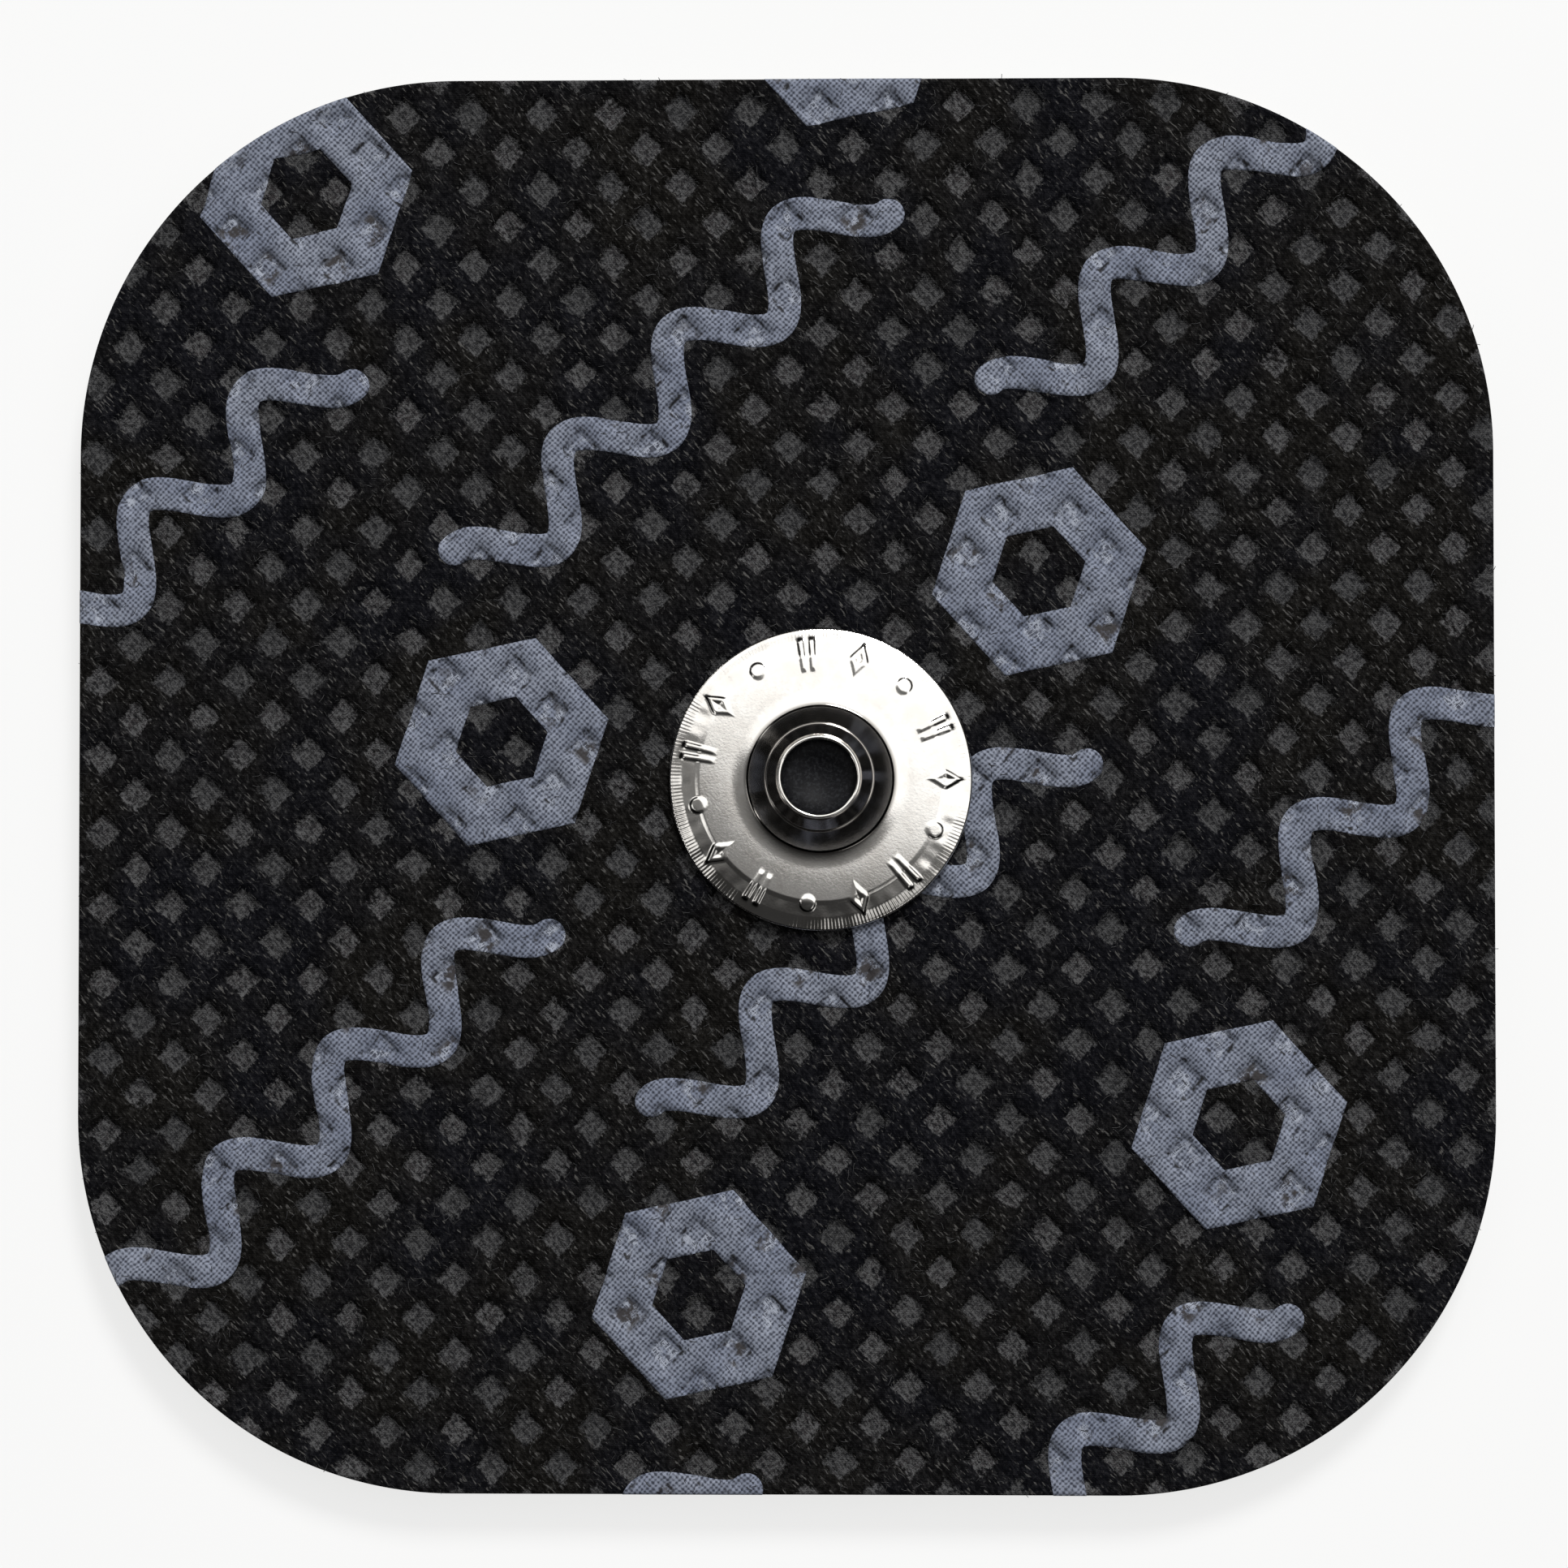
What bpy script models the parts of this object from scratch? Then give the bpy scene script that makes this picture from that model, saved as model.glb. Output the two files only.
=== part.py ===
"""A snap type electrode pad for nerve stimulation, lying on its gel face with the stud up.

A die-cut square of embossed non-woven carries printed motifs. A carbon film and a layer of
hydrogel lie under it. A plastic eyelet under the film and a drawn metal stud on the fabric
clamp all the layers, and the post of the eyelet is headed over inside the stud.

Metres, +Z up. The origin is the middle of the skin face.
"""

import math

import bmesh
import bpy
from mathutils import Matrix, Vector

MM = 0.001

# Pad outline, shared by every layer that the die cuts
PAD_SIDE = 50.0 * MM
PAD_CORNER_RADIUS = 13.3 * MM
CORNER_STEPS = 10

# Layers, from the skin up
GEL_THICKNESS = 0.90 * MM
GEL_INSET = 0.25 * MM
GEL_EDGE_ROUND = 0.12 * MM
FILM_THICKNESS = 0.15 * MM
FILM_INSET = 0.60 * MM
FABRIC_THICKNESS = 0.55 * MM
BOND_LINE = 0.03 * MM

# Bond points pressed into the non-woven, square pits turned on their corners
PIT_PITCH_X = 2.46 * MM
PIT_PITCH_Y = 2.66 * MM
PIT_SIDE = 0.80 * MM
PIT_DEPTH = 0.18 * MM
PIT_ROWS_TURN = math.radians(0.9)
PIT_ANCHOR_X = 6.36 * MM
PIT_ANCHOR_Y = 10.76 * MM

# Where the snap goes through the pad
SNAP_OFFSET_X = 1.30 * MM
SNAP_OFFSET_Y = 0.16 * MM
ROUND_STEPS = 40

# Stud: heights are measured from the flat seat of the flange
STUD_WALL = 0.25 * MM
FLANGE_RADIUS = 5.35 * MM
FLANGE_RISE = 0.62 * MM
SEAT_OUTER_RADIUS = 4.34 * MM
SEAT_STEP = 0.06 * MM
MARK_BAND_WIDTH = 0.56 * MM
MARK_BAND_DROP = 0.20 * MM
RIM_SLOPE_DROP = 0.15 * MM
RIM_ROUND = 0.11 * MM
NECK_RADIUS = 1.68 * MM
NECK_TOP = 1.20 * MM
FOOT_WIDTH = 0.92 * MM
FOOT_LOWER_SLOPE = math.radians(48.0)
FOOT_UPPER_SLOPE = math.radians(58.0)
FOOT_STEPS = 4
BULB_RADIUS = 1.93 * MM
BULB_HEIGHT = 1.74 * MM
BULB_LAND = 0.10 * MM
POST_HEIGHT = 2.55 * MM
MOUTH_RADIUS = 1.30 * MM
LIP_WIDTH = 0.16 * MM
LIP_ROUND = 0.05 * MM
LIP_DEPTH = 0.50 * MM

# Eyelet: the post's heights are measured from the same seat
EYELET_FLANGE_RADIUS = 4.20 * MM
EYELET_FLANGE_THICKNESS = 0.28 * MM
EYELET_POST_RADIUS = 1.24 * MM
EYELET_HEAD_RADIUS = 1.50 * MM
EYELET_HEAD_TOP = 1.86 * MM
EYELET_HEAD_THICKNESS = 0.26 * MM
EYELET_DISH_RADIUS = 1.02 * MM
EYELET_DISH_DEPTH = 0.20 * MM
DISH_STEPS = 3
COVER_RADIUS = 4.90 * MM
COVER_THICKNESS = 0.08 * MM

# Clearances
HOLE_CLEARANCE = 0.10 * MM
SEAT_CLEARANCE = 0.02 * MM
RECESS_CLEARANCE = 0.08 * MM
PRINT_CLEARANCE = 0.02 * MM
CUT_CLEARANCE = 0.10 * MM

# Print: a hexagon ring and a wave band in every cell of a skewed lattice of rows and columns
INK_THICKNESS = 0.04 * MM
PRINT_ANCHOR_X = -10.0 * MM
PRINT_ANCHOR_Y = 1.5 * MM
COLUMN_STEP_X = 19.0 * MM
COLUMN_STEP_Y = 6.0 * MM
ROW_STEP_X = -7.0 * MM
ROW_STEP_Y = 19.5 * MM
ANCHOR_CELL = 3
HEXAGON_ACROSS_FLATS = 6.7 * MM
HEXAGON_WINDOW = 2.9 * MM
HEXAGON_TURN = math.radians(12.0)
WAVE_TURN = math.radians(45.0)
WAVE_LENGTH = 5.5 * MM
WAVE_COUNT = 3.5
WAVE_AMPLITUDE = 1.25 * MM
WAVE_STROKE = 1.15 * MM
WAVE_STEPS = 10
CAP_STEPS = 4
SMALLEST_SHARE = 0.08

# Points closer than this are one point
MERGE_DISTANCE = 0.0005 * MM

# Places that follow from the sizes above
PIT_ANCHOR = Vector((PIT_ANCHOR_X, PIT_ANCHOR_Y))
SNAP_CENTRE = Vector((SNAP_OFFSET_X, SNAP_OFFSET_Y))
PRINT_ANCHOR = Vector((PRINT_ANCHOR_X, PRINT_ANCHOR_Y))
COLUMN_STEP = Vector((COLUMN_STEP_X, COLUMN_STEP_Y))
ROW_STEP = Vector((ROW_STEP_X, ROW_STEP_Y))
WAVE_OFFSET = (COLUMN_STEP + ROW_STEP) / 2

# Heights that follow from the layers
FILM_BOTTOM = GEL_THICKNESS + BOND_LINE
FILM_TOP = FILM_BOTTOM + FILM_THICKNESS
FABRIC_BOTTOM = FILM_TOP + BOND_LINE
FABRIC_TOP = FABRIC_BOTTOM + FABRIC_THICKNESS
SEAT_HEIGHT = FABRIC_TOP + SEAT_CLEARANCE + FLANGE_RISE
EYELET_TOP = FILM_BOTTOM - SEAT_CLEARANCE
EYELET_BOTTOM = EYELET_TOP - EYELET_FLANGE_THICKNESS
COVER_BOTTOM = EYELET_BOTTOM - BOND_LINE - COVER_THICKNESS
HOLE_RADIUS = EYELET_POST_RADIUS + HOLE_CLEARANCE

# Colour (linear RGB), roughness and metallic value of each finish
FINISHES = {
    "black_nonwoven": ((0.010, 0.010, 0.011), 0.85, 0.0),
    "slate_ink": ((0.090, 0.100, 0.130), 0.70, 0.0),
    "nickel_plate": ((0.720, 0.700, 0.660), 0.22, 1.0),
    "black_plastic": ((0.014, 0.014, 0.015), 0.45, 0.0),
    "carbon_film": ((0.018, 0.018, 0.019), 0.60, 0.0),
    "cover_film": ((0.550, 0.550, 0.530), 0.50, 0.0),
    "clear_gel": ((0.640, 0.620, 0.520), 0.12, 0.0),
}


def start_scene():
    """Empties the scene and gives it one collection for the pad and one for its cutters."""
    for obj in list(bpy.data.objects):
        bpy.data.objects.remove(obj, do_unlink=True)
    pad = bpy.data.collections.new("tens_electrode_pad")
    cutters = bpy.data.collections.new("cutters")
    for collection in (pad, cutters):
        bpy.context.scene.collection.children.link(collection)
    return pad, cutters


def make_finish(name):
    colour, roughness, metallic = FINISHES[name]
    material = bpy.data.materials.new(name)
    material.use_nodes = True
    shader = material.node_tree.nodes["Principled BSDF"]
    shader.inputs["Base Color"].default_value = (*colour, 1.0)
    shader.inputs["Roughness"].default_value = roughness
    shader.inputs["Metallic"].default_value = metallic
    material.diffuse_color = (*colour, 1.0)
    return material


def add_object(name, data, collection, finish=None):
    obj = bpy.data.objects.new(name, data)
    collection.objects.link(obj)
    if finish:
        data.materials.append(finish)
    return obj


def as_cutter(obj):
    obj.hide_render = True
    obj.display_type = "WIRE"
    return obj


def add_boolean(obj, cutter, operation):
    modifier = obj.modifiers.new(cutter.name, "BOOLEAN")
    modifier.operation = operation
    modifier.object = cutter
    modifier.solver = "EXACT"


def shade_round(mesh):
    mesh.shade_smooth()
    mesh.set_sharp_from_angle(angle=math.radians(32))


def on_arc(centre, radius, start, end, steps):
    """Points on a circle from one angle to another, in degrees, both ends included."""
    angles = [math.radians(start + (end - start) * i / steps) for i in range(steps + 1)]
    return [(centre[0] + radius * math.cos(a), centre[1] + radius * math.sin(a)) for a in angles]


def rounded_square(side, radius):
    """The outline of a square with round corners, counterclockwise."""
    middle = side / 2 - radius
    points = []
    for quarter in range(4):
        turn = Matrix.Rotation(math.radians(90 * quarter), 2)
        centre = turn @ Vector((middle, middle))
        points += on_arc(centre, radius, 90 * quarter, 90 * quarter + 90, CORNER_STEPS)
    return points


def inset_outline(inset):
    return rounded_square(PAD_SIDE - 2 * inset, PAD_CORNER_RADIUS - inset)


def circle(centre, radius, steps):
    return on_arc(centre, radius, 0, 360 * (steps - 1) / steps, steps - 1)


def plate_mesh(name, outlines, bottom, thickness):
    """A flat plate from closed outlines: the ones inside another are holes."""
    curve = bpy.data.curves.new(name, "CURVE")
    curve.dimensions = "2D"
    curve.fill_mode = "BOTH"
    curve.extrude = thickness / 2
    for outline in outlines:
        spline = curve.splines.new("POLY")
        spline.points.add(len(outline) - 1)
        spline.points.foreach_set("co", [v for x, y in outline for v in (x, y, 0.0, 1.0)])
        spline.use_cyclic_u = True
    obj = bpy.data.objects.new(name, curve)
    bpy.context.scene.collection.objects.link(obj)
    graph = bpy.context.evaluated_depsgraph_get()
    mesh = bpy.data.meshes.new_from_object(obj.evaluated_get(graph))
    bpy.data.objects.remove(obj, do_unlink=True)
    bpy.data.curves.remove(curve)
    mesh.name = name
    weld(mesh)
    mesh.transform(Matrix.Translation((0, 0, bottom + thickness / 2)))
    return mesh


def weld(mesh):
    shape = bmesh.new()
    shape.from_mesh(mesh)
    bmesh.ops.remove_doubles(shape, verts=shape.verts, dist=MERGE_DISTANCE)
    bmesh.ops.recalc_face_normals(shape, faces=shape.faces)
    shape.to_mesh(mesh)
    shape.free()


def turned(name, profile, closed, steps, collection, finish=None):
    """A turned piece on the snap's axis, from points of (radius, height)."""
    mesh = bpy.data.meshes.new(name)
    edges = [(i, i + 1) for i in range(len(profile) - 1)]
    if closed:
        edges.append((len(profile) - 1, 0))
    mesh.from_pydata([(radius, 0.0, height) for radius, height in profile], edges, [])
    obj = add_object(name, mesh, collection, finish)
    obj.location = (*SNAP_CENTRE, 0.0)
    screw = obj.modifiers.new("turn", "SCREW")
    screw.steps = steps
    screw.render_steps = steps
    screw.use_merge_vertices = True
    screw.merge_threshold = MERGE_DISTANCE
    screw.use_smooth_shade = True
    return obj


def hole_cutter(name, radius, bottom, top, cutters):
    """A cylinder on the snap's axis."""
    profile = [(0.0, top), (radius, top), (radius, bottom), (0.0, bottom)]
    return as_cutter(turned(name, profile, False, ROUND_STEPS, cutters))


def pit_axes():
    """The two slanting directions along which the pits follow one another."""
    turn = Matrix.Rotation(PIT_ROWS_TURN, 2)
    rising = turn @ Vector((PIT_PITCH_X, PIT_PITCH_Y)) / 2
    falling = turn @ Vector((PIT_PITCH_X, -PIT_PITCH_Y)) / 2
    return rising, falling


def pit_lines(count):
    """Grid lines at both sides of each pit, counted in pit spacings."""
    half = PIT_SIDE / pit_axes()[0].length / 2
    return [i + side for i in range(-count, count + 1) for side in (-half, half)]


def embossed_slab(name, bottom, top):
    """A slab larger than the pad, whose upper face is full of pits on a slanting grid."""
    rising, falling = pit_axes()
    reach = PAD_SIDE / 2 + PIT_ANCHOR.length
    count = math.ceil(reach / min(PIT_PITCH_X, PIT_PITCH_Y)) + 1
    lines = pit_lines(2 * count)
    slab = bmesh.new()
    rows = []
    for u in lines:
        places = [PIT_ANCHOR + u * rising + v * falling for v in lines]
        rows.append([slab.verts.new((*place, top)) for place in places])
    pits = []
    for i in range(len(lines) - 1):
        for j in range(len(lines) - 1):
            corners = (rows[i][j], rows[i][j + 1], rows[i + 1][j + 1], rows[i + 1][j])
            if not near_pad(corners):
                continue
            face = slab.faces.new(corners)
            if i % 2 == 0 and j % 2 == 0:
                pits.append(face)
    bmesh.ops.delete(slab, geom=[v for v in slab.verts if not v.link_faces], context="VERTS")
    poked = bmesh.ops.poke(slab, faces=pits)
    for vertex in poked["verts"]:
        vertex.co.z -= PIT_DEPTH
    close_below(slab, bottom)
    mesh = bpy.data.meshes.new(name)
    slab.to_mesh(mesh)
    slab.free()
    return mesh


def near_pad(corners):
    """Whether a face of the grid can still lie on the pad once the die has cut it."""
    reach = PAD_SIDE / 2 + max(PIT_PITCH_X, PIT_PITCH_Y)
    return all(max(abs(v.co.x), abs(v.co.y)) < reach for v in corners)


def close_below(slab, bottom):
    """Gives the open sheet straight sides and a flat underside."""
    rim = [edge for edge in slab.edges if edge.is_boundary]
    sides = bmesh.ops.extrude_edge_only(slab, edges=rim)
    lower = [item for item in sides["geom"] if isinstance(item, bmesh.types.BMVert)]
    for vertex in lower:
        vertex.co.z = bottom
    lower_rim = [edge for edge in slab.edges if edge.is_boundary]
    bmesh.ops.holes_fill(slab, edges=lower_rim)
    bmesh.ops.recalc_face_normals(slab, faces=slab.faces)


def foot_curve(depth):
    """The foot from the neck down to the seat, hollow like a bell, at a depth inside the metal."""
    spread = math.sin(FOOT_UPPER_SLOPE) - math.sin(FOOT_LOWER_SLOPE)
    fall = math.cos(FOOT_LOWER_SLOPE) - math.cos(FOOT_UPPER_SLOPE)
    points = []
    for i in range(FOOT_STEPS + 1):
        slope = FOOT_UPPER_SLOPE + (FOOT_LOWER_SLOPE - FOOT_UPPER_SLOPE) * i / FOOT_STEPS
        out = (math.sin(FOOT_UPPER_SLOPE) - math.sin(slope)) / spread
        up = (math.cos(FOOT_LOWER_SLOPE) - math.cos(slope)) / fall
        radius = NECK_RADIUS + FOOT_WIDTH * out - depth * math.sin(slope)
        points.append((radius, NECK_TOP * up - depth * math.cos(slope)))
    return points


def stud_profile():
    """The stud's section, from the mouth over the lip, down the outside and back up inside."""
    lip_outer = MOUTH_RADIUS + LIP_WIDTH
    band_outer = SEAT_OUTER_RADIUS + MARK_BAND_WIDTH
    rim_drop = MARK_BAND_DROP + RIM_SLOPE_DROP
    inner_drop = MARK_BAND_DROP + RIM_SLOPE_DROP / 2 + STUD_WALL
    outside = [
        (MOUTH_RADIUS, POST_HEIGHT - LIP_DEPTH),
        (MOUTH_RADIUS, POST_HEIGHT - LIP_ROUND),
        (MOUTH_RADIUS + LIP_ROUND, POST_HEIGHT),
        (lip_outer - LIP_ROUND, POST_HEIGHT),
        (lip_outer, POST_HEIGHT - LIP_ROUND),
        (BULB_RADIUS - BULB_LAND / 2, BULB_HEIGHT + BULB_LAND),
        (BULB_RADIUS, BULB_HEIGHT),
        (BULB_RADIUS - BULB_LAND / 2, BULB_HEIGHT - BULB_LAND),
    ]
    outside += foot_curve(0.0)
    outside += [
        (SEAT_OUTER_RADIUS, 0.0),
        (SEAT_OUTER_RADIUS + SEAT_STEP, -SEAT_STEP),
        (band_outer, -MARK_BAND_DROP),
        (FLANGE_RADIUS - RIM_ROUND, -rim_drop),
        (FLANGE_RADIUS, -rim_drop - RIM_ROUND),
        (FLANGE_RADIUS, -FLANGE_RISE),
    ]
    inside = [
        (FLANGE_RADIUS - STUD_WALL, -FLANGE_RISE),
        (FLANGE_RADIUS - STUD_WALL, -inner_drop),
        (SEAT_OUTER_RADIUS, -STUD_WALL),
        (NECK_RADIUS + FOOT_WIDTH, -STUD_WALL),
    ]
    inside += foot_curve(STUD_WALL)[::-1]
    inside += [
        (BULB_RADIUS - STUD_WALL, BULB_HEIGHT - BULB_LAND),
        (BULB_RADIUS - STUD_WALL, BULB_HEIGHT),
        (MOUTH_RADIUS + STUD_WALL, POST_HEIGHT - LIP_DEPTH),
    ]
    return [(radius, SEAT_HEIGHT + height) for radius, height in outside + inside]


def eyelet_profile():
    """The eyelet's section, from the dish in the end of its post down to its flange."""
    head_top = SEAT_HEIGHT + EYELET_HEAD_TOP
    head_bottom = head_top - EYELET_HEAD_THICKNESS
    flare = EYELET_HEAD_RADIUS - EYELET_POST_RADIUS
    across = [i / DISH_STEPS for i in range(DISH_STEPS + 1)]
    dish = [
        (EYELET_DISH_RADIUS * share, head_top - EYELET_DISH_DEPTH * (1 - share**2))
        for share in across
    ]
    return dish + [
        (EYELET_HEAD_RADIUS - flare / 2, head_top),
        (EYELET_HEAD_RADIUS, head_top - flare / 2),
        (EYELET_HEAD_RADIUS, head_bottom),
        (EYELET_POST_RADIUS, head_bottom - flare),
        (EYELET_POST_RADIUS, EYELET_TOP),
        (EYELET_FLANGE_RADIUS, EYELET_TOP),
        (EYELET_FLANGE_RADIUS, EYELET_BOTTOM),
        (0.0, EYELET_BOTTOM),
    ]


def hexagon_ring():
    """The outlines of a hexagon and of the window in it, round the origin."""
    rings = []
    for across in (HEXAGON_ACROSS_FLATS, HEXAGON_WINDOW):
        corner = across / math.sqrt(3)
        turn = math.degrees(HEXAGON_TURN)
        rings.append(on_arc((0, 0), corner, turn, turn + 300, 5))
    return rings


def wave_line(along):
    """A point of the wave's middle line and its direction there."""
    phase = 2 * math.pi * along / WAVE_LENGTH
    slope = WAVE_AMPLITUDE * 2 * math.pi / WAVE_LENGTH * math.cos(phase)
    return Vector((along, WAVE_AMPLITUDE * math.sin(phase))), Vector((1, slope)).normalized()


def wave_band():
    """The outline of a wave band with round ends, round the origin."""
    half = WAVE_STROKE / 2
    reach = WAVE_COUNT * WAVE_LENGTH / 2
    steps = round(WAVE_COUNT * WAVE_STEPS)
    line = [wave_line(-reach + 2 * reach * i / steps) for i in range(steps + 1)]
    upper = [place + half * Vector((-way.y, way.x)) for place, way in line]
    lower = [place - half * Vector((-way.y, way.x)) for place, way in line]
    right = end_cap(*line[-1], half, -90)
    left = end_cap(*line[0], half, 90)
    turn = Matrix.Rotation(WAVE_TURN, 2)
    outline = [Vector(point) for point in lower + right + upper[::-1] + left]
    return [[tuple(turn @ point) for point in outline]]


def end_cap(place, way, radius, start):
    """The points of a round end between the two sides of a band."""
    heading = math.degrees(math.atan2(way.y, way.x))
    return on_arc(place, radius, heading + start, heading + start + 180, CAP_STEPS)[1:-1]


def print_sites(offset):
    """Where one kind of motif falls on the pad and just past its edge, with its row and column."""
    reach = PAD_SIDE / 2 + HEXAGON_ACROSS_FLATS
    count = math.ceil(2 * reach / min(COLUMN_STEP.length, ROW_STEP.length)) + 2
    sites = []
    for row in range(-count, count + 1):
        for column in range(-count, count + 1):
            site = PRINT_ANCHOR + offset + column * COLUMN_STEP + row * ROW_STEP
            if max(abs(site.x), abs(site.y)) < reach:
                sites.append((site, row + ANCHOR_CELL, column + ANCHOR_CELL))
    return sites


def loose_pieces(shape):
    """The connected pieces of a mesh, each as a set of faces, in the order of their first face."""
    pieces = []
    seen = set()
    for start in shape.faces:
        if start in seen:
            continue
        piece = {start}
        front = [start]
        while front:
            face = front.pop()
            around = {other for edge in face.edges for other in edge.link_faces} - piece
            front += around
            piece |= around
        seen |= piece
        pieces.append(piece)
    return pieces


def one_piece(mesh, number):
    """A copy of a mesh that keeps only one of its loose pieces, with its area and its middle."""
    shape = bmesh.new()
    shape.from_mesh(mesh)
    kept = loose_pieces(shape)[number]
    area = sum(face.calc_area() for face in kept)
    middle = sum((face.calc_center_median() for face in kept), Vector()) / len(kept)
    spare = [face for face in shape.faces if face not in kept]
    bmesh.ops.delete(shape, geom=spare, context="FACES")
    copy = bpy.data.meshes.new(mesh.name)
    shape.to_mesh(copy)
    shape.free()
    return copy, area, middle


def piece_count(mesh):
    shape = bmesh.new()
    shape.from_mesh(mesh)
    count = len(loose_pieces(shape))
    shape.free()
    return count


def print_motif(name, outlines, site, cutters, pad, finish):
    """What the die and the stud leave of one motif. Where they part it, each area has its end's name."""
    mesh = plate_mesh("ink", outlines, FABRIC_TOP + PRINT_CLEARANCE, INK_THICKNESS)
    whole = sum(face.area for face in mesh.polygons)
    mesh.transform(Matrix.Translation((*site, 0)))
    rough = add_object("ink", mesh, pad)
    add_boolean(rough, cutters["die"], "INTERSECT")
    add_boolean(rough, cutters["stud_clearance"], "DIFFERENCE")
    graph = bpy.context.evaluated_depsgraph_get()
    cut = bpy.data.meshes.new_from_object(rough.evaluated_get(graph))
    bpy.data.objects.remove(rough, do_unlink=True)
    pieces = [one_piece(cut, number) for number in range(piece_count(cut))]
    pieces = [piece for piece in pieces if piece[1] > SMALLEST_SHARE * whole]
    for copy, _, middle in pieces:
        end = "_left" if middle.x < site.x else "_right"
        copy.name = name + end * (len(pieces) > 1)
        add_object(copy.name, copy, pad, finish)


def print_pattern(kind, outlines, offset, cutters, pad, finish):
    """Every copy of one motif that the die leaves on the pad, named by its row and column."""
    for site, row, column in print_sites(offset):
        name = f"print_{kind}_r{row}_c{column}"
        print_motif(name, outlines, site, cutters, pad, finish)


def make_cutters(collection):
    """The die that cuts the outline, and the cylinders that leave room for the snap."""
    top = SEAT_HEIGHT + POST_HEIGHT
    recess_radius = COVER_RADIUS + RECESS_CLEARANCE
    recess_bottom = COVER_BOTTOM - RECESS_CLEARANCE
    clearance_radius = FLANGE_RADIUS + CUT_CLEARANCE
    die = plate_mesh("die", [inset_outline(0.0)], -top, 3 * top)
    return {
        "die": as_cutter(add_object("die", die, collection)),
        "hole": hole_cutter("hole", HOLE_RADIUS, 0.0, top, collection),
        "recess": hole_cutter("recess", recess_radius, recess_bottom, top, collection),
        "stud_clearance": hole_cutter("stud_clearance", clearance_radius, 0.0, top, collection),
    }


def make_gel(cutters, pad, finish):
    mesh = plate_mesh("hydrogel", [inset_outline(GEL_INSET)], 0.0, GEL_THICKNESS)
    gel = add_object("hydrogel", mesh, pad, finish)
    rounding = gel.modifiers.new("soft_edge", "BEVEL")
    rounding.width = GEL_EDGE_ROUND
    rounding.segments = 1
    rounding.limit_method = "ANGLE"
    rounding.angle_limit = math.radians(60)
    add_boolean(gel, cutters["recess"], "DIFFERENCE")


def make_film(pad, finish):
    outlines = [inset_outline(FILM_INSET), circle(SNAP_CENTRE, HOLE_RADIUS, ROUND_STEPS)]
    mesh = plate_mesh("carbon_film", outlines, FILM_BOTTOM, FILM_THICKNESS)
    add_object("carbon_film", mesh, pad, finish)


def make_fabric(cutters, pad, finish):
    """The non-woven: an embossed slab that the die cuts out and punches for the snap."""
    slab = embossed_slab("backing_fabric", FABRIC_BOTTOM, FABRIC_TOP)
    fabric = add_object("backing_fabric", slab, pad, finish)
    add_boolean(fabric, cutters["die"], "INTERSECT")
    add_boolean(fabric, cutters["hole"], "DIFFERENCE")


def make_snap(pad, finishes):
    stud = turned("snap_stud", stud_profile(), True, ROUND_STEPS, pad, finishes["nickel_plate"])
    shade_round(stud.data)
    turned("snap_eyelet", eyelet_profile(), False, ROUND_STEPS, pad, finishes["black_plastic"])
    cover_top = COVER_BOTTOM + COVER_THICKNESS
    profile = [(0.0, cover_top), (COVER_RADIUS, cover_top), (COVER_RADIUS, COVER_BOTTOM)]
    profile.append((0.0, COVER_BOTTOM))
    turned("eyelet_cover", profile, False, ROUND_STEPS, pad, finishes["cover_film"])


def main():
    pad, cutter_collection = start_scene()
    finishes = {name: make_finish(name) for name in FINISHES}
    cutters = make_cutters(cutter_collection)
    make_gel(cutters, pad, finishes["clear_gel"])
    make_film(pad, finishes["carbon_film"])
    make_fabric(cutters, pad, finishes["black_nonwoven"])
    make_snap(pad, finishes)
    ink = finishes["slate_ink"]
    print_pattern("hexagon", hexagon_ring(), Vector((0, 0)), cutters, pad, ink)
    print_pattern("wave", wave_band(), WAVE_OFFSET, cutters, pad, ink)


main()
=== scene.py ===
"""The looks of a snap type electrode pad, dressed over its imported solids.

The embossed non-woven, its print and its loose fibres are built from the pits' own lattice. The
stud and the eyelet are turned from fine sections, and the layers below are lofted from the
outline that the die cuts.

Metres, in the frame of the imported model: +Z out of the printed face, +X right and +Y up in the
picture.
"""

import math
import re

import bmesh
import bpy
import numpy as np
from mathutils import Matrix, Vector, geometry


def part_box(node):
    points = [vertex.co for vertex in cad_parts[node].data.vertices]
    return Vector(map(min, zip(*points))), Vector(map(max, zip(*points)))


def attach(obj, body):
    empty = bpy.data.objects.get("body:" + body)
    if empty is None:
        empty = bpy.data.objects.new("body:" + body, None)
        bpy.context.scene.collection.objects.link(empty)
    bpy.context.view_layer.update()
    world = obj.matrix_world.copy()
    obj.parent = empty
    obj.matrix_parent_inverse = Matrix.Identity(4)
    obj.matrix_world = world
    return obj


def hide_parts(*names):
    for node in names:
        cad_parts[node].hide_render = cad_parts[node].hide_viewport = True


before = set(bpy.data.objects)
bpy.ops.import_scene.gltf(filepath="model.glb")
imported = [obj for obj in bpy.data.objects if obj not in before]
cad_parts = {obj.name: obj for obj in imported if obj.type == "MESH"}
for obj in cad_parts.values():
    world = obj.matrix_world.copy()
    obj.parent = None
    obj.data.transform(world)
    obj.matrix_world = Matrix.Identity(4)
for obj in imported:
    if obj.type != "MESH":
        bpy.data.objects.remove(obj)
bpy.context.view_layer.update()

MM = 0.001
SLIVER = 0.001 * MM

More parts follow.
